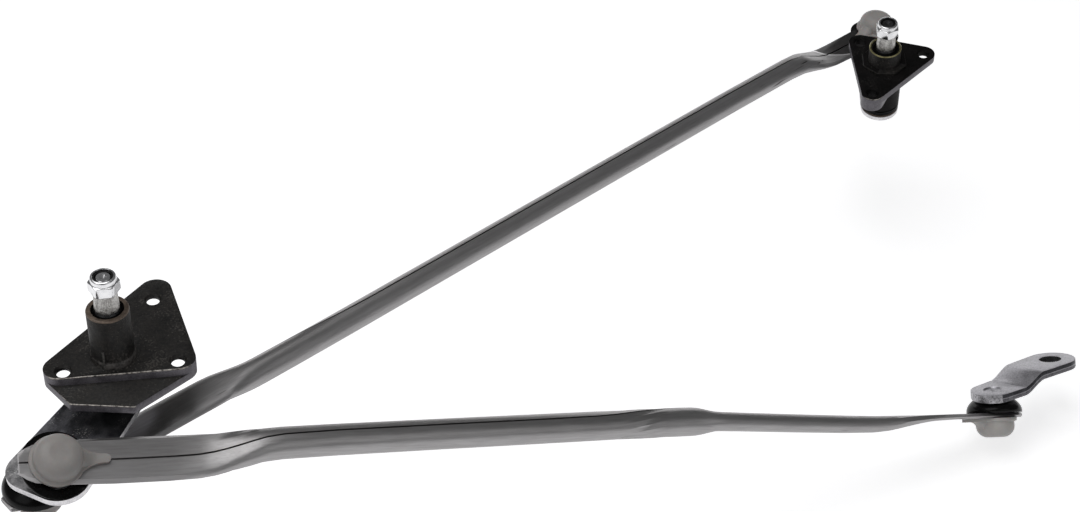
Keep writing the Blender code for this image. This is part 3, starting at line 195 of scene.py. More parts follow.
def add_range(tree: bpy.types.NodeTree, value, limits: Sequence,
              results: Sequence[float] = (0.0, 1.0), smooth_step: bool = True):
    """Adds a Map Range node and returns its output.

    Args:
        tree: The node tree.
        value: Socket with the value.
        limits: Where the range starts and ends, each a socket or a number.
        results: What comes out at its start and its end.
        smooth_step: Whether the range is smooth at both ends rather than straight.

    Returns:
        The result's socket.
    """
    node = tree.nodes.new("ShaderNodeMapRange")
    node.interpolation_type = "SMOOTHSTEP" if smooth_step else "LINEAR"
    labels = ("Value", "From Min", "From Max", "To Min", "To Max")
    for label, number in zip(labels, (value, *limits, *results)):
        feed(tree, node.inputs[label], number)
    return node.outputs["Result"]


def make_grain_group() -> bpy.types.NodeTree:
    """Fine grain and broad clouds of one surface.

    Returns:
        The group, with a grain value, a cloud value and a bump height.
    """
    group, given, filled = new_group(
        "surface_grain", {"Vector": None, "Grain Scale": 900.0, "Cloud Scale": 60.0},
        ("Grain", "Cloud", "Height"))
    grain = add_noise(group, given["Vector"], given["Grain Scale"], 4.0, 0.6)
    cloud = add_noise(group, given["Vector"], given["Cloud Scale"], 3.0, 0.55)
    feed(group, filled["Grain"], grain)
    feed(group, filled["Cloud"], cloud)
    swell = add_math(group, "MULTIPLY", cloud, 0.6)
    feed(group, filled["Height"], add_math(group, "ADD", grain, swell))
    return group


def make_speck_group() -> bpy.types.NodeTree:
    """Scattered specks gathered in patches, such as dust, bare spots or flecks of plating.

    Returns:
        The group, with one mask.
    """
    group, given, filled = new_group(
        "scattered_specks", {"Vector": None, "Scale": 1200.0, "Amount": 0.3}, ("Mask",))
    fine = add_noise(group, given["Vector"], given["Scale"], 2.0, 0.5)
    patch_scale = add_math(group, "MULTIPLY", given["Scale"], 0.08)
    patch = add_noise(group, given["Vector"], patch_scale, 2.0, 0.5)
    summed = add_math(group, "ADD", fine, add_math(group, "MULTIPLY", patch, 0.7))
    limit = add_math(group, "SUBTRACT", 1.25, add_math(group, "MULTIPLY", given["Amount"], 0.5))
    over = add_math(group, "SUBTRACT", summed, limit)
    feed(group, filled["Mask"], add_math(group, "MULTIPLY", over, 9.0, clamp=True))
    return group


def make_painted_light_group() -> bpy.types.NodeTree:
    """Masks for painted light and shade: the part of a piece past a place along its length, and that
    part's curved border, where a painted highlight line goes.

    Returns:
        The group, with both masks.
    """
    group, given, filled = new_group(
        "painted_light_zone", {"Vector": None, "Start": 0.0, "End": 0.001, "Curve": 0.0, "Side": 0.0},
        ("Mask", "Lip"))
    parts = group.nodes.new("ShaderNodeSeparateXYZ")
    feed(group, parts.inputs["Vector"], given["Vector"])
    across = add_math(group, "SUBTRACT", parts.outputs["Y"], given["Side"])
    bow = add_math(group, "MULTIPLY", add_math(group, "MULTIPLY", across, across), given["Curve"])
    mask = add_range(group, add_math(group, "ADD", parts.outputs["X"], bow),
                     (given["Start"], given["End"]))
    rest = add_math(group, "SUBTRACT", 1.0, mask)
    border = add_math(group, "MULTIPLY", mask, rest)
    feed(group, filled["Mask"], mask)
    # Lip: the border's mask, for a painted highlight line.
    feed(group, filled["Lip"], add_math(group, "MULTIPLY", border, 4.0))
    return group


# Finishes


@dataclass(frozen=True)
class PaintedLightZone:
    """Part of a piece past a place along its frame's x, with two colours of its own that stand in for
    light and shade there.
    """

    start: float
    end: float
    dark: Color
    light: Color
    curve: float = 0.0
    side: float = 0.0
    # Colour of a painted highlight line along the zone's curved border.
    lip: Color | None = None


@dataclass(frozen=True)
class Finish:
    """One surface finish and the slot of the record that it belongs to."""

    name: str
    slot: str
    dark: Color
    light: Color
    roughness: tuple[float, float]
    metallic: float
    grain_scale: float
    cloud_scale: float
    bump: float
    stretch: tuple[float, float, float] = (1.0, 1.0, 1.0)
    speck_color: Color = (0.5, 0.5, 0.5)
    speck_amount: float = 0.0
    speck_scale: float = 1200.0
    grain_share: float = 0.5
    coat: float = 0.0
    specular: float = 0.5
    subsurface: float = 0.0
    zone: PaintedLightZone | None = None


class FinishShop:
    """Makes the materials, each once for each frame that its pattern follows."""

    def __init__(self) -> None:
        """Builds the shared shader groups."""
        self.grain = make_grain_group()
        self.specks = make_speck_group()
        self.zones = make_painted_light_group()
        self.made: dict[str, bpy.types.Material] = {}

    def get(self, finish: Finish, frame: Matrix | None = None, label: str = "") -> bpy.types.Material:
        """Gives a finish's material, its pattern laid along a frame.

        Args:
            finish: The finish.
            frame: Frame whose axes the pattern's stretch follows; the row's frame if None.
            label: Tells materials of one finish in different frames apart.

        Returns:
            The material.
        """
        name = finish.name + ("_" + label if label else "")
        if name not in self.made:
            self.made[name] = self.make(name, finish, frame or Matrix.Identity(4))
        return self.made[name]

    def make(self, name: str, finish: Finish, frame: Matrix) -> bpy.types.Material:
        """Makes one material: two colours mixed by grain and clouds, a zone of painted light and shade
        with its painted highlight line where the finish has one, specks and fine relief.

        Args:
            name: The material's name.
            finish: The finish.
            frame: Frame whose axes the pattern's stretch follows.

        Returns:
            The material.
        """
        material = bpy.data.materials.new(name)
        material.use_nodes = True
        tree = material.node_tree
        shader = tree.nodes["Principled BSDF"]
        shader.inputs["Metallic"].default_value = finish.metallic
        shader.inputs["Coat Weight"].default_value = finish.coat
        shader.inputs["Specular IOR Level"].default_value = finish.specular
        if finish.subsurface > 0.0:
            shader.inputs["Subsurface Weight"].default_value = finish.subsurface
            shader.inputs["Subsurface Scale"].default_value = GLOW_DEPTH
        pattern = self.add_mapping(tree, frame, finish.stretch)
        grain = self.place_group(tree, self.grain, pattern, {"Grain Scale": finish.grain_scale,
                                                             "Cloud Scale": finish.cloud_scale})
        share = add_math(tree, "MULTIPLY", grain["Grain"], finish.grain_share)
        rest = add_math(tree, "MULTIPLY", grain["Cloud"], 1.0 - finish.grain_share)
        mixed = add_range(tree, add_math(tree, "ADD", share, rest), GRAIN_LIMITS)
        color = self.mix_color(tree, mixed, finish.dark, finish.light)
        # Painted light and shade: the zone's own colours, and a painted highlight line along its
        # border.
        zone = finish.zone
        if zone:
            masks = self.place_group(tree, self.zones, self.add_mapping(tree, frame), {
                "Start": zone.start, "End": zone.end, "Curve": zone.curve, "Side": zone.side})
            inside = self.mix_color(tree, mixed, zone.dark, zone.light)
            color = self.mix_color(tree, masks["Mask"], color, inside)
            if zone.lip:
                color = self.mix_color(tree, masks["Lip"], color, zone.lip)
        roughness = add_range(tree, grain["Cloud"], CLOUD_LIMITS, finish.roughness, smooth_step=False)
        if finish.speck_amount > 0.0:
            specks = self.place_group(tree, self.specks, pattern, {"Scale": finish.speck_scale,
                                                                   "Amount": finish.speck_amount})
            color = self.mix_color(tree, specks["Mask"], color, finish.speck_color)
            rougher = add_math(tree, "MULTIPLY", specks["Mask"], SPECK_ROUGHNESS)
            roughness = add_math(tree, "ADD", roughness, rougher, clamp=True)
        feed(tree, shader.inputs["Base Color"], color)
        feed(tree, shader.inputs["Roughness"], roughness)
        bump = tree.nodes.new("ShaderNodeBump")
        bump.inputs["Strength"].default_value = finish.bump
        bump.inputs["Distance"].default_value = RELIEF_DEPTH
        feed(tree, bump.inputs["Height"], grain["Height"])
        feed(tree, shader.inputs["Normal"], bump.outputs["Normal"])
        return material

    @staticmethod
    def add_mapping(tree: bpy.types.NodeTree, frame: Matrix,
                    stretch: Sequence[float] = (1.0, 1.0, 1.0)):
        """Adds the object's coordinates as a frame sees them, and returns their socket.

        Args:
            tree: The node tree.
            frame: The frame.
            stretch: How far a pattern is drawn out along its axes.

        Returns:
            The socket.
        """
        place = tree.nodes.new("ShaderNodeTexCoord")
        turn = tree.nodes.new("ShaderNodeMapping")
        turn.vector_type = "TEXTURE"
        turn.inputs["Location"].default_value = frame.translation
        turn.inputs["Rotation"].default_value = frame.to_euler()
        turn.inputs["Scale"].default_value = stretch
        tree.links.new(place.outputs["Object"], turn.inputs["Vector"])
        return turn.outputs["Vector"]

    @staticmethod
    def place_group(tree: bpy.types.NodeTree, group: bpy.types.NodeTree, vector,
                    values: dict[str, float]):
        """Places a shader group in a material with its own values, and returns its outputs.

        Args:
            tree: The node tree.
            group: The shader group.
            vector: Socket with the coordinates.
            values: Numbers for its inputs.

        Returns:
            The node's outputs.
        """
        node = tree.nodes.new("ShaderNodeGroup")
        node.node_tree = group
        for label, value in {"Vector": vector, **values}.items():
            feed(tree, node.inputs[label], value)
        return node.outputs

    @staticmethod
    def mix_color(tree: bpy.types.NodeTree, factor, first, second):
        """Mixes two colours, each a socket or a colour, and returns the result's socket.

        Args:
            tree: The node tree.
            factor: Share of the second colour.
            first: The first colour.
            second: The second colour.

        Returns:
            The socket.
        """
        node = tree.nodes.new("ShaderNodeMix")
        node.data_type = "RGBA"
        for index, value in ((0, factor), (6, first), (7, second)):
            feed(tree, node.inputs[index], value)
        return node.outputs[2]


CAST_BLACK = Finish("cast_black", "cast_black", (0.0010, 0.0009, 0.0008), (0.018, 0.0155, 0.0135),
                    (0.42, 0.62), 0.15, 650.0, 130.0, 1.0, speck_color=(0.056, 0.051, 0.046),
                    speck_amount=0.62, speck_scale=900.0, grain_share=0.6, specular=0.35)
# Painted shade: a darker copy of the cast black, laid on the far housing's skin.
CAST_SHADED_BLACK = Finish("cast_black_painted_shade", "cast_black", (0.0012, 0.0011, 0.001), (0.007, 0.006, 0.006),
                   (0.5, 0.7), 0.0, 900.0, 110.0, 0.6, speck_color=(0.03, 0.028, 0.026),
                   speck_amount=0.45, speck_scale=1100.0, grain_share=0.55, specular=0.1)
MOUTH_RIM = Finish("mouth_rim", "cast_black", (0.16, 0.14, 0.06), (0.36, 0.33, 0.17),
                   (0.3, 0.45), 0.6, 1400.0, 240.0, 0.2)
CAST_RIM = Finish("cast_rim", "cast_black", (0.075, 0.055, 0.042), (0.16, 0.12, 0.09),
                  (0.35, 0.5), 0.5, 1400.0, 240.0, 0.3, speck_color=(0.3, 0.28, 0.2),
                  speck_amount=0.3)
CAST_WORN = Finish("cast_worn_edge", "cast_black", (0.020, 0.018, 0.016), (0.42, 0.39, 0.36),
                   (0.3, 0.45), 0.7, 900.0, 500.0, 0.3, grain_share=0.35)
# Painted highlight: a lighter finish on the rib and collar beside the left boss, where their edges
# catch the light.
CAST_RIB_HIGHLIGHT = Finish("cast_rib_painted_highlight", "cast_black", (0.010, 0.009, 0.008), (0.12, 0.112, 0.105),
                     (0.35, 0.5), 0.4, 900.0, 300.0, 0.5, grain_share=0.35)
# Painted reflection: the castings' upright sides, lightened to a violet grey as if they mirrored the
# white floor.
CAST_FLANK_SHEEN = Finish("cast_flank_painted_sheen", "cast_black", (0.08, 0.075, 0.085), (0.17, 0.16, 0.178),
                    (0.4, 0.55), 0.5, 1400.0, 160.0, 0.4)
# Painted light and shade: the levers' zinc stays dark near the hub as painted shade under the housing,
# and past 40 mm along the lever it turns a lighter grey as painted light.
ZINC_PLATE_SHADED = Finish("zinc_plate", "zinc_plate", (0.10, 0.10, 0.112), (0.21, 0.21, 0.228),
                    (0.30, 0.46), 0.95, 1100.0, 170.0, 0.25, speck_color=(0.75, 0.75, 0.74),
                    speck_amount=0.42, speck_scale=1300.0, grain_share=0.4,
                    zone=PaintedLightZone(0.040, 0.048, (0.20, 0.20, 0.21), (0.62, 0.61, 0.62), 12.0, -0.010))
ARM_ZINC = Finish("arm_zinc", "zinc_plate", (0.26, 0.255, 0.275), (0.50, 0.49, 0.52),
                  (0.34, 0.46), 0.85, 1100.0, 150.0, 0.40, grain_share=0.6,
                  speck_color=(0.16, 0.16, 0.17), speck_amount=0.35, speck_scale=900.0)
ARM_SHEAR = Finish("arm_sheared_side", "zinc_plate", (0.06, 0.06, 0.066), (0.20, 0.195, 0.21),
                   (0.35, 0.5), 0.85, 1200.0, 300.0, 0.4, grain_share=0.45)
ARM_FLANK = Finish("arm_rolled_side", "zinc_plate", (0.035, 0.035, 0.04), (0.10, 0.10, 0.11),
                   (0.35, 0.5), 0.85, 1200.0, 200.0, 0.2, grain_share=0.4)
ARM_NOSE = Finish("arm_nose", "zinc_plate", (0.17, 0.17, 0.175), (0.62, 0.61, 0.64),
                  (0.35, 0.5), 0.85, 1400.0, 600.0, 0.4, grain_share=0.55)
ZINC_EDGE = Finish("zinc_cut_edge", "zinc_plate", (0.50, 0.49, 0.51), (0.80, 0.79, 0.80),
                   (0.32, 0.5), 0.9, 1500.0, 260.0, 0.4, speck_color=(0.78, 0.75, 0.58),
                   speck_amount=0.3)
BRIGHT_ZINC = Finish("bright_zinc", "bright_zinc", (0.66, 0.66, 0.67), (0.80, 0.80, 0.81),
                     (0.17, 0.22), 1.0, 900.0, 120.0, 0.02, grain_share=0.2)
SPLINE_ZINC = Finish("serrated_zinc", "bright_zinc", (0.30, 0.29, 0.28), (0.72, 0.71, 0.69),
                     (0.28, 0.45), 0.95, 1500.0, 500.0, 0.4, speck_color=(0.12, 0.11, 0.10),
                     speck_amount=0.4, speck_scale=1500.0)
# Painted light: past 580.5 mm along the link its flat turns near black as a painted dark reflection,
# edged by a near-white painted highlight line.
LINK_STEEL_SHADED = Finish("rolled_steel", "link_steel", (0.275, 0.267, 0.267), (0.375, 0.367, 0.371),
                    (0.34, 0.46), 0.92, 900.0, 34.0, 0.10, stretch=(14.0, 1.0, 1.0),
                    speck_color=(0.05, 0.045, 0.042), speck_amount=0.22, speck_scale=500.0,
                    grain_share=0.45,
                    zone=PaintedLightZone(0.5805, 0.5842, (0.022, 0.021, 0.021), (0.05, 0.048, 0.048), -71.0, 0.008,
                              (0.95, 0.94, 0.95)))
NYLON = Finish("grey_nylon", "grey_nylon", (0.30, 0.285, 0.275), (0.36, 0.342, 0.33),
               (0.42, 0.52), 0.0, 700.0, 60.0, 0.06, grain_share=0.2, specular=0.4, subsurface=0.15)
# Painted light: a paler copy of the grey nylon for the motor joint's cap, which is lit from below.
NYLON_LIT = Finish("grey_nylon_painted_light", "grey_nylon", (0.50, 0.48, 0.46), (0.58, 0.56, 0.54),
                    (0.42, 0.52), 0.0, 700.0, 60.0, 0.06, grain_share=0.2, specular=0.4,
                    subsurface=0.15)
RUBBER = Finish("black_rubber", "black_rubber", (0.002, 0.002, 0.002), (0.005, 0.005, 0.005),
                (0.18, 0.28), 0.0, 900.0, 120.0, 0.08, speck_color=(0.03, 0.03, 0.03),
                speck_amount=0.16, specular=0.12)
NUT_RING = Finish("black_nylon", "black_nylon", (0.008, 0.008, 0.008), (0.02, 0.02, 0.02),
                  (0.3, 0.4), 0.0, 900.0, 200.0, 0.1)
BRONZE = Finish("sintered_bronze", "bronze", (0.25, 0.15, 0.06), (0.42, 0.27, 0.13),
                (0.4, 0.55), 0.9, 1500.0, 300.0, 0.3)
# Dark steel: painted shade on the spindles where they sink into the bore, and a dark colour for the far
# spindle's end and the walls of the motor crank's serrated hole.
DARK_STEEL_AND_SHADE = Finish("dark_steel_and_painted_shade", "bright_zinc", (0.020, 0.020, 0.021), (0.05, 0.05, 0.052),
                    (0.3, 0.42), 0.6, 1200.0, 300.0, 0.2)
SPRING = Finish("spring_steel", "spring_steel", (0.05, 0.04, 0.035), (0.12, 0.09, 0.07),
                (0.35, 0.5), 0.9, 1200.0, 300.0, 0.2)

CAD_FINISHES = {finish.slot: finish for finish in (
    CAST_BLACK, ZINC_PLATE_SHADED, BRIGHT_ZINC, LINK_STEEL_SHADED, BRONZE, SPRING, NYLON, NUT_RING, RUBBER)}


# Modelling by hand


def only(obj: bpy.types.Object) -> bpy.types.Object:
    """Selects one object alone and makes it active.

    Args:
        obj: The object.

    Returns:
        The same object.
    """
    bpy.ops.object.select_all(action="DESELECT")
    obj.select_set(True)
    bpy.context.view_layer.objects.active = obj
    return obj


@contextmanager
def editing(obj: bpy.types.Object) -> Iterator[bpy.types.Object]:
    """Opens an object in edit mode and leaves it again.

    Args:
        obj: The mesh object.

    Yields:
        The same object, in edit mode.
    """
    only(obj)
    bpy.ops.object.mode_set(mode="EDIT")
    try:
        yield obj
    finally:
        bpy.ops.object.mode_set(mode="OBJECT")


def choose_edges(obj: bpy.types.Object, test: Callable) -> int:
    """Selects a mesh's edges in code, from object mode.

    Args:
        obj: The mesh object.
        test: Says of an edge's two ends and middle whether it is taken.

    Returns:
        How many were taken.
    """
    mesh = obj.data
    for part in (mesh.vertices, mesh.edges, mesh.polygons):
        part.foreach_set("select", [False] * len(part))
    taken = 0
    for edge in mesh.edges:
        first, second = (mesh.vertices[index].co for index in edge.vertices)
        edge.select = bool(test(first, second, 0.5 * (first + second)))
        taken += edge.select
        if edge.select:
            for index in edge.vertices:
                mesh.vertices[index].select = True
    return taken


def is_level(first: Vector, second: Vector, height: float = 0.0) -> bool:
    """Whether both ends of an edge lie at a height."""
    return abs(first.z - height) < LEVEL and abs(second.z - height) < LEVEL


def apply_modifiers(obj: bpy.types.Object) -> None:
    """Applies an object's modifiers in order.

    Args:
        obj: The object.
    """
    only(obj)
    for modifier in list(obj.modifiers):
        bpy.ops.object.modifier_apply(modifier=modifier.name)


def settle(name: str) -> bpy.types.Object:
    """Names the object just added and lays its place into its mesh.

    Args:
        name: The object's name.

    Returns:
        The object.
    """
    obj = bpy.context.object
    obj.name = name
    obj.data.name = name
    bpy.ops.object.transform_apply(location=True, rotation=True, scale=True)
    return obj


def lathe(name: str, profile: Sequence[Point], steps: int = ROUND_STEPS, hollow: bool = False,
          turn: float = 0.0) -> bpy.types.Object:
    """Draws a turned piece about +Z, ring by ring.

    Args:
        name: The object's name.
        profile: Radius and height of each ring.
        steps: Facets round the piece.
        hollow: Whether the profile runs back to its start, as a ring's does.
        turn: Angle of the first facet.

    Returns:
        The piece.
    """
    radius, height = profile[0]
    bpy.ops.object.select_all(action="DESELECT")
    bpy.ops.mesh.primitive_circle_add(vertices=steps, radius=radius, location=(0.0, 0.0, height),
                                      rotation=(0.0, 0.0, turn),
                                      fill_type="NOTHING" if hollow else "NGON")
    obj = settle(name)
    points = list(profile[1:]) + ([profile[0]] if hollow else [])
    with editing(obj):
        bpy.ops.mesh.select_mode(type="VERT")
        bpy.ops.mesh.select_all(action="SELECT")
        for next_radius, next_height in points:
            bpy.ops.mesh.extrude_region_move()
            if abs(next_radius - radius) > TINY:
                share = next_radius / radius
                bpy.ops.transform.resize(value=(share, share, 1.0),
                                         center_override=(0.0, 0.0, height))
            if abs(next_height - height) > TINY:
                bpy.ops.transform.translate(value=(0.0, 0.0, next_height - height))
            radius = next_radius
            height = next_height
        bpy.ops.mesh.select_all(action="SELECT")
        bpy.ops.mesh.remove_doubles(threshold=MERGE_DISTANCE)
        bpy.ops.mesh.normals_make_consistent(inside=False)
    if sum(face.center.dot(face.normal) * face.area for face in obj.data.polygons) < 0.0:
        with editing(obj):
            bpy.ops.mesh.select_all(action="SELECT")
            bpy.ops.mesh.flip_normals()
    return obj


def arc(center: Point, radius: float, start: float, end: float, steps: int) -> list[Point]:
    """Points of an arc in a profile, angles in degrees from the profile's outward direction.

    Args:
        center: Radius and height of its centre.
        radius: Its radius.
        start: Angle of the first point.
        end: Angle of the last point.
        steps: How many chords it has.

    Returns:
        The points.
    """
    points = []
    for index in range(steps + 1):
        angle = math.radians(start + (end - start) * index / steps)
        points.append((center[0] + radius * math.cos(angle), center[1] + radius * math.sin(angle)))
    return points


def combine(obj: bpy.types.Object, other: bpy.types.Object, cut: Cut) -> bpy.types.Object:
    """Joins, cuts or trims a solid with another, which is used up.

    Args:
        obj: The solid that stays.
        other: The solid that works on it.
        cut: What is done.

    Returns:
        The first solid.
    """
    modifier = obj.modifiers.new("combine", "BOOLEAN")
    modifier.operation = cut.value
    modifier.solver = "EXACT"
    modifier.object = other
    apply_modifiers(obj)
    bpy.data.objects.remove(other, do_unlink=True)
    return obj


def hull(name: str, circles: Sequence[tuple[float, float, float]], bottom: float, top: float,
         steps: int = 40) -> bpy.types.Object:
    """A plate that wraps round circles, from cylinders stood at its corners.

    Args:
        name: The object's name.
        circles: Centre and radius of each corner.
        bottom: Height of the underside.
        top: Height of the upper side.
        steps: Facets of each corner's cylinder.

    Returns:
        The plate.
    """
    posts = []
    for x, y, radius in circles:
        bpy.ops.object.select_all(action="DESELECT")
        bpy.ops.mesh.primitive_cylinder_add(vertices=steps, radius=radius, depth=top - bottom,
                                            location=(x, y, 0.5 * (top + bottom)))
        posts.append(bpy.context.object)
    for post in posts:
        post.select_set(True)
    bpy.context.view_layer.objects.active = posts[0]
    bpy.ops.object.join()
    obj = settle(name)
    with editing(obj):
        bpy.ops.mesh.select_all(action="SELECT")
        bpy.ops.mesh.convex_hull()
        bpy.ops.mesh.select_all(action="SELECT")
        bpy.ops.mesh.dissolve_limited(angle_limit=math.radians(0.5))
        bpy.ops.mesh.normals_make_consistent(inside=False)
    return obj


def cylinder(name: str, radius: float, bottom: float, top: float,
             steps: int = ROUND_STEPS) -> bpy.types.Object:
    """A plain cylinder about +Z that works on another solid.

    Args:
        name: The object's name.
        radius: Its radius.
        bottom: Height of its lower end.
        top: Height of its upper end.
        steps: Facets round it.

    Returns:
        The cylinder.
    """
    bpy.ops.object.select_all(action="DESELECT")
    bpy.ops.mesh.primitive_cylinder_add(vertices=steps, radius=radius, depth=top - bottom,
                                        location=(0.0, 0.0, 0.5 * (top + bottom)))
    return settle(name)


def block(name: str, low: tuple[float, float, float],
          high: tuple[float, float, float]) -> bpy.types.Object:
    """A box between two corners.

    Args:
        name: The object's name.
        low: The corner with the smallest coordinates.
        high: The corner with the largest.

    Returns:
        The box.
    """
    middle = tuple(0.5 * (a + b) for a, b in zip(low, high))
    size = tuple(b - a for a, b in zip(low, high))
    bpy.ops.object.select_all(action="DESELECT")
    bpy.ops.mesh.primitive_cube_add(size=1.0, location=middle, scale=size)
    return settle(name)


def slice_block(obj: bpy.types.Object, axis: int, places: Sequence[float]) -> None:
    """Adds rings of edges square to an axis, so that the piece can be shaped along it.

    Args:
        obj: The piece.
        axis: 0, 1 or 2 for x, y or z.
        places: Where the rings lie along the axis.
    """
    normal = [0.0, 0.0, 0.0]
    normal[axis] = 1.0
    with editing(obj):
        for place in places:
            bpy.ops.mesh.select_all(action="SELECT")
            bpy.ops.mesh.bisect(plane_co=[place * part for part in normal], plane_no=normal)


def round_edges(obj: bpy.types.Object, width: float, angle: float = 50.0,
                segments: int = 2) -> None:
    """Rounds every edge sharper than an angle.

    Args:
        obj: The piece.
        width: Width of the rounding.
        angle: Angle between faces, in degrees, above which an edge is rounded.
        segments: Facets across the rounding.
    """
    modifier = obj.modifiers.new("edges", "BEVEL")
    modifier.width = width
    modifier.segments = segments
    modifier.limit_method = "ANGLE"
    modifier.angle_limit = math.radians(angle)
    modifier.harden_normals = False
    apply_modifiers(obj)


def wear_edges(obj: bpy.types.Object, test: Callable, width: float, slot: int) -> None:
    """Rounds chosen edges and gives the new faces a worn finish.

    Args:
        obj: The piece, in its own frame.
        test: Takes an edge's two ends and its middle.
        width: Width of the rounding.
        slot: Index of the material for the new faces.
    """
    if not choose_edges(obj, test):
        return
    with editing(obj):
        bpy.ops.mesh.select_mode(type="EDGE")
        bpy.ops.mesh.bevel(offset=width, segments=2, affect="EDGES")
        bpy.ops.mesh.select_mode(type="FACE")
        obj.active_material_index = slot
        bpy.ops.object.material_slot_assign()


def paint_faces(obj: bpy.types.Object, slot: int, test: Callable) -> None:
    """Gives chosen faces the material of a slot.

    Args:
        obj: The piece.
        slot: Index of the material.
        test: Says of a polygon whether it is taken.
    """
    for polygon in obj.data.polygons:
        if test(polygon):
            polygon.material_index = slot


def copy_of_node(node: bpy.types.Object, name: str) -> bpy.types.Object:
    """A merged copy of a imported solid, ready to be finished.

    Args:
        node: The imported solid, which is left alone.
        name: The copy's name.

    Returns:
        The copy.
    """
    obj = bpy.data.objects.new(name, node.data.copy())
    obj.data.name = name
    bpy.context.scene.collection.objects.link(obj)
    obj.data.materials.clear()
    with editing(obj):
        bpy.ops.mesh.customdata_custom_splitnormals_clear()
        bpy.ops.mesh.select_all(action="SELECT")
        bpy.ops.mesh.remove_doubles(threshold=MERGE_DISTANCE)
        bpy.ops.mesh.tris_convert_to_quads(face_threshold=math.radians(12),
                                           shape_threshold=math.radians(80))
    return obj


def turn_about_z(degrees: float) -> Matrix:
    """Rotation about +Z."""
    return Matrix.Rotation(math.radians(degrees), 4, "Z")


def axes_matrix(origin: Vector, x_axis: Vector, z_axis: Vector) -> Matrix:
    """Frame at an origin with its z along one axis and its x as near as can be to another.

    Args:
        origin: Where the frame stands.
        x_axis: Where its x points at best.
        z_axis: Where its z points.

    Returns:
        The frame.
    """
    z = z_axis.normalized()
    x = (x_axis - x_axis.dot(z) * z).normalized()
    matrix = Matrix((x, z.cross(x), z)).transposed().to_4x4()
    matrix.translation = origin
    return matrix


@dataclass
class Bench:
    """What every sub-assembly needs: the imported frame, the finishes and the joints' places."""

    frame: dict
    shop: FinishShop
    joints: dict[str, dict] = field(default_factory=dict)
    slots: dict[str, str] = field(default_factory=dict)

    def __post_init__(self) -> None:
        """Sorts the joints by name."""
        self.joints = {joint["name"]: joint for joint in self.frame["joints"]}

    def joint_place(self, name: str) -> Vector:
        """Where a joint's axis passes."""
        return Vector(self.joints[name]["pos_m"])

    def joint_axis(self, name: str) -> Vector:
        """Which way a joint's axis points."""
        return Vector(self.joints[name]["axis"]).normalized()

    def dress(self, obj: bpy.types.Object, *finishes: Finish, frame: Matrix | None = None,
              label: str = "") -> None:
        """Gives a piece its materials, the first one all over, and notes that one's slot.

        Args:
            obj: The piece.
            finishes: Its finishes in the order of its slots.
            frame: Frame that the patterns follow; the row's frame if None.
            label: Tells materials in different frames apart.
        """
        obj.data.materials.clear()
        for finish in finishes:
            obj.data.materials.append(self.shop.get(finish, frame, label))
        self.slots[obj.name] = finishes[0].slot

    def deliver(self, obj: bpy.types.Object, place: Matrix, body: Body, nodes: Sequence[str],
                angle: float = SMOOTH_ANGLE) -> None:
        """Lays a finished piece in place and lets it ride on its body.

        Args:
            obj: The piece, in its own frame.
            place: That frame in the row's frame.
            body: The body that carries it.
            nodes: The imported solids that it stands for.
            angle: Edges sharper than this stay sharp.
        """
        obj.matrix_world = place
        only(obj)
        bpy.ops.object.transform_apply(location=True, rotation=True, scale=True)
        bpy.ops.object.shade_smooth_by_angle(angle=angle)
        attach(obj, body.value)
        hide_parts(*nodes)
        LOG.info("%s: %d faces on %s", obj.name, len(obj.data.polygons), body.value)


# Pivots


class Patch(Enum):
    """Material slots of a casting; its skin lies in slot 0."""

    RIM = 1
    WORN = 2
    # Upright sides with a painted reflection.
    FLANK = 3
    DARK = 4
    # Rib and collar with a painted highlight.
    RIB_HIGHLIGHT = 5


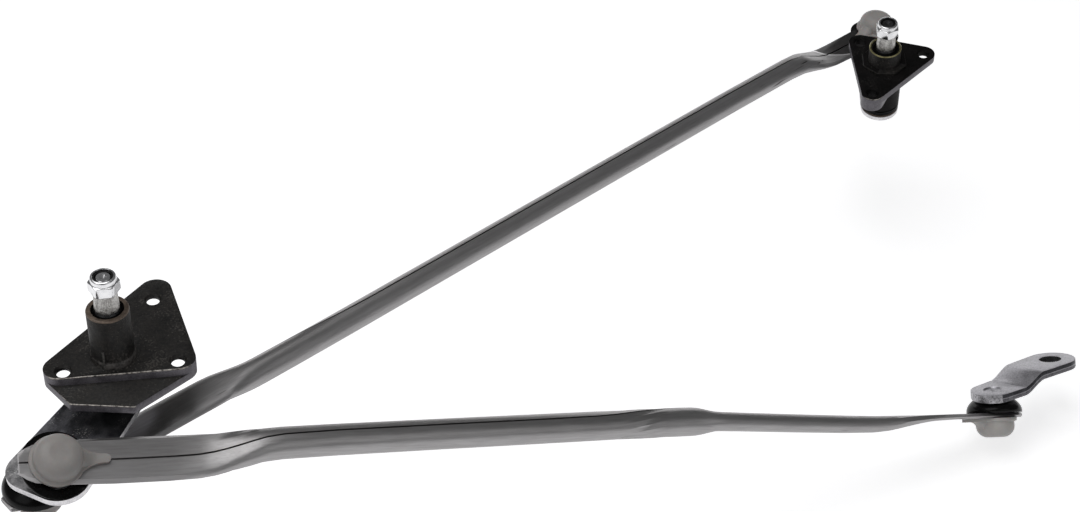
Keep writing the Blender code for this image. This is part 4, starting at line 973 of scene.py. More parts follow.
@dataclass
class Pivot:
    """Spindle, nut and seals of one pivot, and what its two castings share."""

    bench: Bench
    side: str
    place: Matrix
    crank_place: Matrix
    housing_body: Body
    crank_body: Body
    boss_height: float
    barrel_length: float = 0.0454
    bore_radius: float = 0.00775
    recess_depth: float = 0.0065
    hub_radius: float = 0.0120
    boss_radius: float = 0.0101
    spindle_radius: float = 0.0060
    spline_root: float = 0.0056
    spline_tip: float = 0.0052
    spline_length: float = 0.0112
    spline_teeth: int = 40
    tooth_height: float = 0.00035
    thread_radius: float = 0.0040
    thread_chamfer: float = 0.0008
    dimple_radii: Point = (0.0004, 0.0016)
    dimple_depth: float = 0.0010
    shank_radius: float = 0.0050
    foot: tuple = ((0.0070, 0.0), (0.0070, 0.0010), (0.0066, 0.0014), (0.0055, 0.0018))
    clip_thickness: float = 0.0010
    seal_round: float = 0.0004
    seal_lip: tuple = ((0.0009, 0.0), (0.0006, 0.0006), (0.0, 0.0009))
    seal_groove: Point = (0.0005, 0.0003)
    washer_round: float = 0.0002
    seal_thickness: float = 0.0022
    lower_seal_thickness: float = 0.0026
    washer_thickness: float = 0.0010
    lever_thickness: float = 0.0030
    nut_flats: float = 0.0130
    nut_hex_height: float = 0.0060
    nut_height: float = 0.0088
    nut_collar_radius: float = 0.0061
    nut_lip_radius: float = 0.0048
    nut_ring_height: float = 0.0020
    nut_wall: float = 0.0005
    nut_corner: float = 0.0002
    nut_crown: tuple = ((0.0009, 0.0), (0.0003, 0.0002), (0.0, 0.0008))
    nut_ring_round: float = 0.0004
    nut_edge: float = 0.00012
    hole_radius: float = 0.0033
    hole_seat_radius: float = 0.0043
    hole_seat_depth: float = 0.0009
    edge: float = 0.0006
    skin_finish: Finish = CAST_BLACK
    rim_finish: Finish = CAST_RIM
    bare_boss: bool = False
    dark_end: bool = False
    rim_depth: float = 0.0016
    rim_slopes: Point = (0.25, 0.9)
    # Reach, heights and slope of the faces beside the boss that get a painted highlight.
    highlight_reach: float = 0.0030
    highlight_heights: Point = (0.0006, 0.0112)
    highlight_slope: float = 0.95
    flank_slope: float = 0.3
    patch_gap: float = 0.0004
    dark_reach: Point = (0.0006, 0.0026)

    def build(self) -> None:
        """Builds the whole pivot."""
        self.build_casting()
        self.build_spindle()
        self.build_nut()
        self.build_seals()

    def build_casting(self) -> None:
        """Builds the housing, which each side shapes in its own way."""
        raise NotImplementedError

    @property
    def bottom(self) -> float:
        """Height of the hub's lower end."""
        return self.boss_height - self.barrel_length

    @property
    def lever_top(self) -> float:
        """Height of the crank lever's upper face."""
        return self.bottom - self.lower_seal_thickness - self.washer_thickness - 3.0 * FIT

    @property
    def seat(self) -> float:
        """Height of the nut's seat."""
        return self.boss_height + self.spline_length

    def drill(self, casting: bpy.types.Object, holes: Sequence[Point], depth: float) -> None:
        """Drills the bore and the bolt holes with their dished seats.

        Args:
            casting: The housing, in its own frame.
            holes: Centres of the bolt holes.
            depth: How far down they go.
        """
        bore = cylinder("bore", self.bore_radius, self.bottom - OVERRUN, self.boss_height + OVERRUN)
        combine(casting, bore, Cut.REMOVE)
        for x, y in holes:
            drill = lathe("bolt_drill", [
                (self.hole_seat_radius, OVERRUN), (self.hole_seat_radius, 0.0),
                (self.hole_radius, -self.hole_seat_depth), (self.hole_radius, -depth - OVERRUN)], 40)
            drill.location = (x, y, 0.0)
            combine(casting, drill, Cut.REMOVE)

    def build_spindle(self) -> None:
        """Shaft with its countersunk end, serrated taper, collar and riveted foot."""
        top = self.seat + self.nut_height - self.thread_chamfer
        lever = self.lever_top
        foot = lever - self.lever_thickness - FIT
        core = 0.0002
        shaft = lathe(self.side + "_spindle_shaft", [
            (self.dimple_radii[0], top - self.dimple_depth), (self.dimple_radii[1], top),
            (self.thread_radius - self.thread_chamfer, top),
            (self.thread_radius, top - self.thread_chamfer), (self.thread_radius, self.seat),
            (self.spline_tip - core, self.seat - FIT),
            (self.spline_root - core, self.boss_height + FIT),
            (self.spindle_radius, self.boss_height - self.edge), (self.spindle_radius, lever + FIT),
            (self.shank_radius, lever + FIT), (self.shank_radius, foot),
            *((radius, foot - depth) for radius, depth in self.foot)])
        taper = lathe("taper", [(self.spline_root, self.boss_height + 2.0 * FIT),
                                (self.spline_tip, self.seat - 2.0 * FIT)], 2 * self.spline_teeth)
        ridge = 1.0 + self.tooth_height / self.spline_root
        for index, vertex in enumerate(taper.data.vertices):
            if index % 2:
                vertex.co.xy = vertex.co.xy * ridge
        combine(shaft, taper, Cut.JOIN)
        self.bench.dress(shaft, BRIGHT_ZINC, SPLINE_ZINC, DARK_STEEL_AND_SHADE)
        low = self.boss_height + FIT
        inside = self.spline_tip - FIT
        paint_faces(shaft, 1, lambda face: low < face.center.z < self.seat
                    and face.center.xy.length > inside)
        # Painted shade: the shaft below the boss's mouth is painted dark where it sinks into the bore.
        paint_faces(shaft, 2, lambda face: lever < face.center.z < low)
        if self.dark_end:
            # The far spindle's end is painted dark.
            dark_from = top - 1.5 * self.thread_chamfer
            paint_faces(shaft, 2, lambda face: face.center.z > dark_from)
        self.bench.deliver(shaft, self.crank_place, self.crank_body, [self.side + "_spindle"],
                           math.radians(20))

    def build_nut(self) -> None:
        """Hexagon nut with its chamfers and round collar, and the nylon ring inside it."""
        top = self.seat + self.nut_height
        hex_radius = self.nut_flats / math.sqrt(3.0)
        land = 0.5 * self.nut_flats - self.nut_corner
        blank = hex_radius + self.nut_corner
        bevel = 0.5 * (blank - land)
        hex_top = self.seat + self.nut_hex_height
        bore = self.thread_radius + FIT
        pocket = self.nut_collar_radius - self.nut_wall
        ring_top = top - self.nut_wall - FIT
        ring_bottom = ring_top - self.nut_ring_height
        collar = self.nut_collar_radius
        nut = lathe(self.side + "_lock_nut", [
            (self.nut_lip_radius, top),
            *((collar - inset, top - drop) for inset, drop in self.nut_crown),
            (collar, hex_top), (land, hex_top), (blank, hex_top - bevel),
            (blank, self.seat + bevel), (land, self.seat), (bore, self.seat),
            (bore, ring_bottom - FIT), (pocket, ring_bottom - FIT), (pocket, ring_top + FIT),
            (self.nut_lip_radius, ring_top + FIT)], hollow=True)
        prism = lathe("hexagon", [(hex_radius, self.seat - OVERRUN), (hex_radius, top + OVERRUN)], 6,
                      turn=math.radians(30))
        combine(nut, prism, Cut.KEEP)
        round_edges(nut, self.nut_edge, 28.0, 1)
        self.finish_turned(nut, BRIGHT_ZINC, "_nut", True)
        rim = pocket - FIT
        corner = self.nut_ring_round
        ring = lathe(self.side + "_lock_ring", [
            (bore, ring_top), (rim - corner, ring_top), (rim, ring_top - corner),
            (rim, ring_bottom), (bore, ring_bottom)], hollow=True)
        self.finish_turned(ring, NUT_RING, "_nut_insert", True)

    def build_seals(self) -> None:
        """Lipped seal in the boss's mouth, the seal ring under the hub and the washer below it."""
        clip_top = (self.boss_height - self.recess_depth + self.washer_thickness + 2.0 * FIT
                    + self.clip_thickness)
        low = clip_top + FIT
        high = low + self.seal_thickness
        outer = self.bore_radius - FIT
        inner = self.spindle_radius + FIT
        corner = self.seal_round
        seal = lathe(self.side + "_mouth_seal", [
            (inner, low), (outer, low), (outer, high - corner), (outer - corner, high),
            *((inner + reach, high - drop) for reach, drop in self.seal_lip)], hollow=True)
        self.finish_turned(seal, RUBBER, "_upper_seal", False)
        high = self.bottom - FIT
        low = high - self.lower_seal_thickness
        groove = 0.5 * (low + high)
        depth, half = self.seal_groove
        hub = self.hub_radius
        lower = lathe(self.side + "_hub_seal", [
            (inner, low), (hub - corner, low), (hub, low + corner), (hub, groove - half),
            (hub - depth, groove), (hub, groove + half), (hub, high - corner), (hub - corner, high),
            (inner, high)], hollow=True)
        self.finish_turned(lower, RUBBER, "_lower_seal", False)
        low = self.lever_top + FIT
        high = low + self.washer_thickness
        corner = self.washer_round
        washer = lathe(self.side + "_hub_washer", [
            (inner, low), (hub - corner, low), (hub, low + corner), (hub, high - corner),
            (hub - corner, high), (inner, high)], hollow=True)
        self.finish_turned(washer, SPRING, "_lower_washer", True)

    def finish_turned(self, obj: bpy.types.Object, finish: Finish, node: str, turns: bool) -> None:
        """Dresses a turned piece and delivers it.

        Args:
            obj: The piece.
            finish: Its finish all over.
            node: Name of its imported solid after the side.
            turns: Whether it turns with the crank rather than staying in the housing.
        """
        place = self.crank_place if turns else self.place
        body = self.crank_body if turns else self.housing_body
        self.bench.dress(obj, finish)
        self.bench.deliver(obj, place, body, [self.side + node])

    def dress_casting(self, casting: bpy.types.Object, plate_low: float,
                      holes: Sequence[Point]) -> None:
        """Gives the casting its near-black skin, its bare rim, its upright flanks lightened as a
        painted reflection and, where the boss is not bare, a painted highlight on its rib and collar.

        Args:
            casting: The housing, in its own frame.
            plate_low: Height of the plate's underside.
            holes: Centres of the bolt holes, whose walls stay dark.
        """
        self.bench.dress(casting, self.skin_finish, self.rim_finish, CAST_WORN, CAST_FLANK_SHEEN, CAST_BLACK,
                         CAST_RIB_HIGHLIGHT)

        def is_rim(face: bpy.types.MeshPolygon) -> bool:
            """Bare metal at the boss's mouth."""
            low, high = self.rim_slopes
            if self.bare_boss and not low < face.normal.z < high:
                return False
            top = face.center.z > self.boss_height - self.rim_depth
            return top and face.center.xy.length < self.boss_radius

        def is_sheen_flank(face: bpy.types.MeshPolygon) -> bool:
            """The plate's upright sides, which get a painted reflection, but not the walls of its
            holes.
            """
            gap = self.patch_gap
            outside = face.center.xy.length > self.hub_radius + gap
            upright = abs(face.normal.z) < self.flank_slope
            level = plate_low - 0.001 < face.center.z < -gap
            clear = all(math.hypot(face.center.x - x, face.center.y - y) > self.hole_seat_radius + gap
                        for x, y in holes)
            return outside and upright and level and clear

        def is_boss(face: bpy.types.MeshPolygon) -> bool:
            """The boss and the flange round it."""
            inner, outer = self.dark_reach
            reach = face.center.xy.length
            around = self.bore_radius + inner < reach < self.hub_radius + outer
            return around and face.center.z > 0.0001

        def is_rib_highlight(face: bpy.types.MeshPolygon) -> bool:
            """The rib and the collar beside the boss, which get a painted highlight."""
            low, high = self.highlight_heights
            beyond = face.center.xy.length - self.boss_radius
            around = 0.0002 < beyond < self.highlight_reach and low < face.center.z < high
            return around and abs(face.normal.z) < self.highlight_slope

        # Painted reflection on the plate's upright sides.
        paint_faces(casting, Patch.FLANK.value, is_sheen_flank)
        if self.bare_boss:
            paint_faces(casting, Patch.DARK.value, is_boss)
        else:
            # Painted highlight on the rib and the collar.
            paint_faces(casting, Patch.RIB_HIGHLIGHT.value, is_rib_highlight)
        paint_faces(casting, Patch.RIM.value, is_rim)


@dataclass
class LeftPivot(Pivot):
    """The near pivot: a tall boss on a stepped plate."""

    plate: float = 0.0085
    step: float = 0.0044
    corners: tuple = ((0.0310, 0.0010, 0.0080), (0.0090, 0.0490, 0.0080), (-0.0225, -0.0115, 0.0080))
    ledge: tuple = ((-0.0125, -0.0290, 0.0020), (0.0155, -0.0278, 0.0020))
    holes: tuple = ((0.0095, 0.0415), (-0.0205, -0.0140), (0.0309, -0.0010))
    rib_heading: float = -98.0
    rib_radius: float = 0.0005
    rib_height: float = 0.0110
    collar: tuple = ((0.0007, 0.0020), (0.0005, 0.0027), (0.0001, 0.0034), (0.0, 0.0042))
    crown: tuple = ((0.0, 0.0007), (0.0002, 0.0002), (0.0006, 0.0))
    front_wear: Point = (0.0016, 0.0005)
    ledge_wear: Point = (0.0009, 0.0004)
    core_wall: float = 0.0024
    skin: float = 0.0024
    ledge_skin: float = 0.0020
    ledge_core_rise: float = 0.0009
    ledge_core_radius: float = 0.0005
    underside_ribs: tuple = ((152.5, 0.0215), (24.6, 0.0330))
    ledge_rib: tuple = (-90.0, 0.0300)
    underside_rib_radius: float = 0.0012
    underside_rib_setback: float = 0.0010

    def build_casting(self) -> None:
        """Stepped plate, boss with collar and rib, hub, bore and bolt holes."""
        casting = hull("left_casting", self.corners + self.ledge, -self.plate, -self.step)
        upper = hull("upper_plate", self.corners, -self.plate + self.edge, 0.0)
        combine(casting, upper, Cut.JOIN)
        self.hollow_underside(casting)
        boss = self.boss_radius
        hub_top = -0.5 * self.skin
        barrel = lathe("barrel", [
            (self.hub_radius - self.edge, self.bottom), (self.hub_radius, self.bottom + self.edge),
            (self.hub_radius, hub_top), (boss + self.collar[0][0], hub_top),
            *((boss + reach, height) for reach, height in self.collar),
            *((boss - inset, self.boss_height - drop) for inset, drop in self.crown)])
        combine(casting, barrel, Cut.JOIN)
        thin = self.rib_radius
        rib = hull("rib", [(boss - 3.0 * thin, 0.0, thin), (boss + thin, 0.0, thin)], -self.edge,
                   self.rib_height, SMALL_STEPS)
        rib.rotation_euler.z = math.radians(self.rib_heading)
        combine(casting, rib, Cut.JOIN)
        self.drill(casting, self.holes, self.plate)
        self.dress_casting(casting, -self.plate, self.holes)
        near, far = Vector(self.corners[2][:2]), Vector(self.corners[0][:2])
        along = (far - near).normalized()
        outward = Vector((along.y, -along.x))
        front = outward.dot(near) + self.corners[2][2]

        def on_front_edge(first: Vector, second: Vector, middle: Vector) -> bool:
            """The upper plate's long edge towards the ledge."""
            return is_level(first, second) and outward.dot(middle.xy) > front - self.front_wear[0]

        def on_ledge_edge(first: Vector, second: Vector, middle: Vector) -> bool:
            """The ledge's outer edge."""
            before = middle.y < self.ledge[0][1] + self.ledge_wear[0]
            return before and is_level(first, second, -self.step)

        wear_edges(casting, on_front_edge, self.front_wear[1], Patch.WORN.value)
        wear_edges(casting, on_ledge_edge, self.ledge_wear[1], Patch.WORN.value)
        round_edges(casting, 0.0004)
        self.bench.deliver(casting, self.place, self.housing_body, ["left_housing"])

    def hollow_underside(self, casting: bpy.types.Object) -> None:
        """Cores the plate from below to an even skin and wall, with ribs from the hub to the wall.

        Args:
            casting: The housing's plate, before its boss is joined.
        """
        below = -self.plate - OVERRUN
        roof = -self.step - self.ledge_skin
        deep = [(x, y, radius - self.core_wall) for x, y, radius in self.corners]
        shallow = [(x, y, radius - FIT) for x, y, radius in deep]
        shallow += [(x, y + self.ledge_core_rise, self.ledge_core_radius) for x, y, _ in self.ledge]
        combine(casting, hull("deep_core", deep, below, -self.skin), Cut.REMOVE)
        combine(casting, hull("ledge_core", shallow, below, roof), Cut.REMOVE)
        foot = -self.plate + self.underside_rib_setback
        rows = [(heading, reach, -0.5 * self.skin) for heading, reach in self.underside_ribs]
        rows.append((*self.ledge_rib, roof + 0.5 * self.ledge_skin))
        round_end = self.underside_rib_radius
        for heading, reach, high in rows:
            rib = hull("underside_rib", [(self.boss_radius + round_end, 0.0, round_end),
                                         (reach - round_end, 0.0, round_end)], foot, high, SMALL_STEPS)
            rib.rotation_euler.z = math.radians(heading)
            combine(casting, rib, Cut.JOIN)


@dataclass
class RightPivot(Pivot):
    """The far pivot: a low boss on a thin plate, with an eight-sided flange."""

    plate: float = 0.0047
    pad: float = 0.0095
    corners: tuple = ((-0.0134, 0.0196, 0.0071), (-0.0095, -0.0286, 0.0071), (0.0256, 0.0070, 0.0071))
    flange_radius: float = 0.0146
    flange_height: float = 0.0020
    flange_edge: float = 0.0004
    mouth_radius: float = 0.0088
    mouth_depth: float = 0.0012
    mouth_chamfer: float = 0.0005
    corner_wear: Point = (0.0048, 0.0004)

    def build_casting(self) -> None:
        """Thin plate with its thick corner, flange, boss, long hub, bore and bolt holes."""
        casting = hull("right_casting", self.corners, -self.plate, 0.0)
        pad = hull("pad", [self.corners[1], (0.0, 0.0, self.hub_radius - self.edge)], -self.pad,
                   -self.edge)
        combine(casting, pad, Cut.JOIN)
        flange = lathe("flange", [(self.flange_radius, -self.plate + self.edge),
                                  (self.flange_radius, self.flange_height - self.flange_edge),
                                  (self.flange_radius - self.flange_edge, self.flange_height)], 8,
                       turn=math.radians(22.5))
        combine(casting, flange, Cut.JOIN)
        boss = self.boss_radius
        barrel = lathe("barrel", [
            (self.hub_radius - self.edge, self.bottom), (self.hub_radius, self.bottom + self.edge),
            (self.hub_radius, -self.edge), (boss, -self.edge), (boss, self.boss_height - self.edge),
            (boss - self.edge, self.boss_height)])
        combine(casting, barrel, Cut.JOIN)
        holes = [corner[:2] for corner in self.corners]
        self.drill(casting, holes, self.pad)
        wide = self.mouth_radius + self.mouth_chamfer
        mouth = lathe("mouth", [(self.mouth_radius, self.boss_height - self.mouth_depth),
                                (self.mouth_radius, self.boss_height - self.mouth_chamfer),
                                (wide, self.boss_height), (wide, self.boss_height + OVERRUN)])
        combine(casting, mouth, Cut.REMOVE)
        self.dress_casting(casting, -self.pad, holes)
        near = self.corners[1]

        def on_near_corner(first: Vector, second: Vector, middle: Vector) -> bool:
            """The rounded corner that faces the camera."""
            reach = math.hypot(middle.x - near[0], middle.y - near[1])
            outer = middle.y < near[1] - self.corner_wear[0] and reach > near[2] - self.corner_wear[1]
            return outer and is_level(first, second)

        wear_edges(casting, on_near_corner, self.corner_wear[1], Patch.WORN.value)
        round_edges(casting, 0.0003)
        self.bench.deliver(casting, self.place, self.housing_body, ["right_housing"])


# Cranks


@dataclass(frozen=True)
class StudHole:
    """Hole for a ball stud's shank, wide at the face where the stud's foot is riveted."""

    shank_radius: float = 0.0043
    head_radius: float = 0.0055
    head_depth: float = 0.0014

    def drill(self, plate: bpy.types.Object, place: Point, near: float, far: float) -> None:
        """Drills a plate from one face to the face with the riveted foot.

        Args:
            plate: The plate, in its own frame.
            place: Centre of the hole.
            near: Height of the face on the ball's side.
            far: Height of the other face.
        """
        out = 1.0 if far > near else -1.0
        drill = lathe("stud_drill", [
            (self.shank_radius, near - out * OVERRUN),
            (self.shank_radius, far - out * self.head_depth),
            (self.head_radius, far), (self.head_radius, far + out * OVERRUN)], STUD_STEPS)
        drill.location = (*place, 0.0)
        combine(plate, drill, Cut.REMOVE)


@dataclass
class BallStud:
    """Ball, neck, shoulder and riveted foot of a ball stud, its ball at its own origin."""

    bench: Bench
    ball_radius: float = 0.0065
    neck_radius: float = 0.0035
    shoulder_radius: float = 0.0052
    shoulder_height: float = 0.0014
    shank_radius: float = 0.0040
    head_radius: float = 0.0052
    head_depth: float = 0.0014
    top_radius: float = 0.0006
    dimple: tuple[float, float] = (0.0008, 0.0022)

    def build(self, name: str, node: str, height: float, plate: float, place: Matrix, body: Body,
              foot_finish: Finish = BRIGHT_ZINC, recess: float = FIT) -> None:
        """Builds one stud.

        Args:
            name: The piece's name.
            node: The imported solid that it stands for.
            height: From the lever's face to the ball's centre.
            plate: Thickness of the lever that holds it.
            place: The ball's frame, its z towards the ball's far side.
            body: The body that carries it.
            foot_finish: Finish of the riveted foot.
            recess: How far the foot lies below the lever's far face.
        """
        start = math.degrees(math.acos(self.neck_radius / self.ball_radius))
        face = -height + FIT
        back = -height - plate
        profile = [(self.top_radius, self.ball_radius - 0.00003)]
        profile += arc((0.0, 0.0), self.ball_radius, 80.0, -start, 16)
        profile += [(self.neck_radius, face + 2.0 * self.shoulder_height),
                    (self.shoulder_radius, face + self.shoulder_height), (self.shoulder_radius, face),
                    (self.shank_radius, face), (self.shank_radius, back + self.head_depth),
                    (self.head_radius, back + recess), (self.dimple[1], back + recess),
                    (self.dimple[0], back + recess + 2.0 * FIT)]
        stud = lathe(name, profile, STUD_STEPS)
        self.bench.dress(stud, BRIGHT_ZINC, foot_finish)
        paint_faces(stud, 1, lambda place_face: place_face.center.z < face - 0.5 * FIT)
        self.bench.deliver(stud, place, body, [node])


@dataclass
class CrankLever:
    """Stamped lever: hub and lobes wrapped in one outline, with its holes."""

    bench: Bench
    side: str
    place: Matrix
    body: Body
    top: float
    hub_radius: float
    studs: Sequence[tuple[float, float, bool]]
    thickness: float = 0.0030
    lobe_radius: float = 0.0130
    hub_hole: float = 0.0053
    stud_hole: StudHole = StudHole()

    def build(self) -> None:
        """Builds the lever with bright sheared edges."""
        bottom = self.top - self.thickness
        circles = [(0.0, 0.0, self.hub_radius)] + [(x, y, self.lobe_radius) for x, y, _ in self.studs]
        lever = hull(self.side + "_lever_plate", circles, bottom, self.top, 64)
        combine(lever, cylinder("hub_hole", self.hub_hole, bottom - OVERRUN, self.top + OVERRUN),
                Cut.REMOVE)
        for x, y, hangs in self.studs:
            near, far = (bottom, self.top) if hangs else (self.top, bottom)
            self.stud_hole.drill(lever, (x, y), near, far)
        # The lever's zinc carries painted shade near the hub and painted light towards its studs.
        self.bench.dress(lever, ZINC_PLATE_SHADED, ZINC_EDGE, frame=self.place, label=self.side)
        round_edges(lever, 0.0004)
        paint_faces(lever, 1, lambda face: abs(face.normal.z) < UPRIGHT)
        self.bench.deliver(lever, self.place, self.body, [self.side + "_crank_lever"])


@dataclass
class MotorCrank:
    """Thick stamped arm with a step in it and a serrated hole for the motor's shaft."""

    bench: Bench
    place: Matrix
    radius: float = 0.0513
    base: float = 0.0153
    thickness: float = 0.0050
    stud_end: float = 0.0128
    shaft_end: float = 0.0146
    step: float = 0.0060
    step_start: float = 0.0130
    step_end: float = 0.0300
    step_rings: int = 20
    sheared_share: float = 0.45
    stud_hole: StudHole = StudHole()
    hole_radius: float = 0.0061
    hole_teeth: int = 32
    tooth: float = 0.0005
    line_height: float = 0.0004
    crease: float = 0.01385
    crease_depth: float = 0.00045
    crease_reach: float = 0.0004

    def rise(self, x: float) -> float:
        """How far the arm is stepped up at a distance from the ball."""
        share = min(1.0, max(0.0, (x - self.step_start) / (self.step_end - self.step_start)))
        return self.step * share * share * (3.0 - 2.0 * share)

    def build(self) -> None:
        """Builds the arm."""
        top = self.base + self.thickness
        arm = hull("motor_arm_plate", [(0.0, 0.0, self.stud_end), (self.radius, 0.0, self.shaft_end)],
                   self.base, top, 64)
        mid = self.base + self.sheared_share * self.thickness
        line = mid + self.line_height
        length = self.step_end - self.step_start
        slice_block(arm, 0, [self.step_start + length * index / self.step_rings
                             for index in range(self.step_rings + 1)])
        slice_block(arm, 2, (mid, line))
        self.bench.dress(arm, ARM_ZINC, ARM_SHEAR, ARM_FLANK, ARM_NOSE, DARK_STEEL_AND_SHADE)
        sides = (lambda face: face.center.z < mid, lambda face: face.center.z > line,
                 lambda face: face.normal.x < -0.35)
        for slot, side in enumerate(sides, 1):
            paint_faces(arm, slot, lambda face: abs(face.normal.z) < UPRIGHT and side(face))
        for vertex in arm.data.vertices:
            if vertex.co.z > top - 1e-6 and abs(vertex.co.x - self.crease) < self.crease_reach:
                vertex.co.z -= self.crease_depth
            vertex.co.z += self.rise(vertex.co.x)
        self.stud_hole.drill(arm, (0.0, 0.0), self.base, top)
        socket = cylinder("shaft_drill", self.hole_radius, self.base + self.step - OVERRUN,
                          top + self.step + OVERRUN, steps=2 * self.hole_teeth)
        ridge = 1.0 + self.tooth / self.hole_radius
        for vertex in socket.data.vertices:
            turn = math.atan2(vertex.co.y, vertex.co.x) * self.hole_teeth / math.pi
            if round(turn) % 2:
                vertex.co.xy = vertex.co.xy * ridge
        socket.location.x = self.radius
        combine(arm, socket, Cut.REMOVE)
        # The walls of the serrated hole are painted dark.
        wall = self.hole_radius + 2.0 * self.tooth
        paint_faces(arm, 4, lambda face: abs(face.normal.z) < 0.5 and math.hypot(
            face.center.x - self.radius, face.center.y) < wall)
        round_edges(arm, 0.0006)
        self.bench.deliver(arm, self.place, Body.MOTOR_CRANK, ["motor_crank_arm"])


# Ball joints and links


@dataclass
class BallJoint:
    """Nylon socket and rubber boot of one ball joint.

    In the socket's frame the ball is at the origin, +Z points into the crown and +X along the tongue.
    """

    bench: Bench
    name: str
    socket: Matrix
    stud: Matrix
    body: Body
    ball_height: float
    ball_radius: float = 0.0065
    to_flat: float = 0.0040
    flat: float = 0.0030
    crown_radius: float = 0.0111
    flange_radius: float = 0.0126
    flange: float = 0.0018
    throat: float = 0.0082
    snap: float = 0.0091
    snap_height: float = 0.0013
    mouth: float = 0.0078
    crown_wall: float = 0.0020
    crown_round: float = 0.0067
    tongue: float = 0.0240
    tongue_root: float = 0.0200
    tongue_tip: float = 0.0042
    tongue_waist: float = 2.8
    web_rise: float = 0.0040
    web_length: float = 0.0062
    web_width: float = 0.0090
    web_sink: float = 0.0020
    boot_base: float = 0.0161
    boot_top: float = 0.0096
    boot_neck: float = 0.0066
    boot_wall: float = 0.0013
    boot_taper: float = 2.6
    boot_rings: int = 18
    cap_finish: Finish = NYLON

    def build(self) -> None:
        """Builds the socket and the boot."""
        self.build_socket()
        self.build_boot()

    def build_socket(self) -> None:
        """Domed crown with a soft shoulder, flange, hollow-sided tongue, throat and snap ring."""
        face = -self.to_flat + 0.5 * self.flat + SEAT
        back = -self.to_flat - 0.5 * self.flat - FIT
        top = face + self.flange + FIT - SEAT
        cavity = self.ball_radius + FIT
        crown = cavity + self.crown_wall
        round_center = (self.crown_radius - self.crown_round, crown - self.crown_round)
        profile = [(0.0008, crown), (0.35 * self.crown_radius, crown - 0.00008)]
        profile += arc(round_center, self.crown_round, 88.0, 0.0, 14)
        profile += [(self.crown_radius, top + 0.0003), (self.crown_radius + 0.0003, top),
                    (self.flange_radius - 0.0002, top - 0.0003), (self.flange_radius, top - 0.0006),
                    (self.flange_radius, face), (self.throat, face), (self.throat, back),
                    (self.snap, back), (self.snap - 0.0004, back - self.snap_height),
                    (self.mouth, back - self.snap_height)]
        low = math.degrees(math.asin(0.0024 / cavity))
        profile += arc((0.0, 0.0), cavity, -low, 86.0, 14)
        socket = lathe(self.name + "_cap", profile)
        combine(socket, self.build_tongue(face, top - 0.0001), Cut.JOIN)
        combine(socket, self.build_web(face + FIT, top - 0.0001), Cut.JOIN)
        round_edges(socket, 0.00035)
        self.bench.dress(socket, self.cap_finish)
        self.bench.deliver(socket, self.socket, self.body, [self.name + "_socket"])

    def build_tongue(self, bottom: float, top: float) -> bpy.types.Object:
        """Tongue that narrows in a hollow curve from the flange to its rounded tip.

        Args:
            bottom: Height of its underside.
            top: Height of its upper side.

        Returns:
            The tongue, to be joined to the cap.
        """
        start = self.crown_radius - 2.0 * self.web_sink
        tip = 0.5 * self.tongue_tip
        length = self.tongue - start
        tongue = block("tongue", (start, -0.5, bottom), (self.tongue, 0.5, top))
        stations = [start + length * index / 14 for index in range(1, 14)]
        stations += [self.tongue - tip * share for share in (0.8, 0.6, 0.4, 0.2, 0.08)]
        slice_block(tongue, 0, stations)
        for vertex in tongue.data.vertices:
            along = (vertex.co.x - start) / length
            half = tip + (0.5 * self.tongue_root - tip) * max(0.0, 1.0 - along) ** self.tongue_waist
            past = 1.0 - (self.tongue - vertex.co.x) / tip
            if past > 0.0:
                half = min(half, tip * max(0.25, math.sqrt(max(0.0, 1.0 - past * past))))
            vertex.co.y *= 2.0 * half
        return tongue

    def build_web(self, bottom: float, top: float) -> bpy.types.Object:
        """Web that rises from the tongue to the crown in a hollow curve.

        Args:
            bottom: Height of its foot inside the tongue.
            top: Height of the tongue's upper side.

        Returns:
            The web, to be joined to the cap.
        """
        web = block("web", (-self.web_sink, -0.5, 0.0), (self.web_length, 0.5, 1.0))
        slice_block(web, 0, [self.web_length * index / 10 for index in range(10)])
        slice_block(web, 2, [0.2, 0.4, 0.6, 0.8, 0.92])
        for vertex in web.data.vertices:
            along = max(0.0, vertex.co.x / self.web_length)
            low_half = 0.5 * (self.web_width + (self.tongue_tip - self.web_width) * along)
            level = max(0.0, (vertex.co.z - 0.2) / 0.8)
            high = self.web_rise * (1.0 - along) ** 2 + 0.00004
            vertex.co.z = bottom + (top - bottom) * min(1.0, vertex.co.z / 0.2) + high * level
            vertex.co.y *= 2.0 * low_half * (1.0 - 0.5 * level * level)
            vertex.co.x += self.crown_radius
        return web

    def build_boot(self) -> None:
        """Rubber boot that leans from the link's face to the lever's."""
        wall = self.boot_wall
        outer = []
        inner = []
        hollow_base = max(self.snap + FIT, self.boot_base - 3.0 * wall)
        for index in range(self.boot_rings + 1):
            share = index / self.boot_rings
            taper = share ** self.boot_taper
            radius = self.boot_base + (self.boot_top - self.boot_base) * taper
            outer.append((radius, share))
            hollow = hollow_base + (self.boot_neck - hollow_base) * taper
            inner.append((min(hollow, radius - wall), share))
        boot = lathe(self.name + "_gaiter", outer + inner[::-1], ROUND_STEPS, hollow=True)
        base_height = self.to_flat + 0.5 * self.flat + SEAT
        top_height = self.ball_height - FIT
        for vertex in boot.data.vertices:
            share = vertex.co.z
            low = self.socket @ Vector((vertex.co.x, vertex.co.y, -base_height))
            high = self.stud @ Vector((vertex.co.x, vertex.co.y, -top_height))
            vertex.co = low.lerp(high, share)
        with editing(boot):
            bpy.ops.mesh.select_all(action="SELECT")
            bpy.ops.mesh.normals_make_consistent(inside=False)
        self.bench.dress(boot, RUBBER)
        self.bench.deliver(boot, Matrix.Identity(4), self.body, [self.name + "_boot"], SHARP_ANGLE)


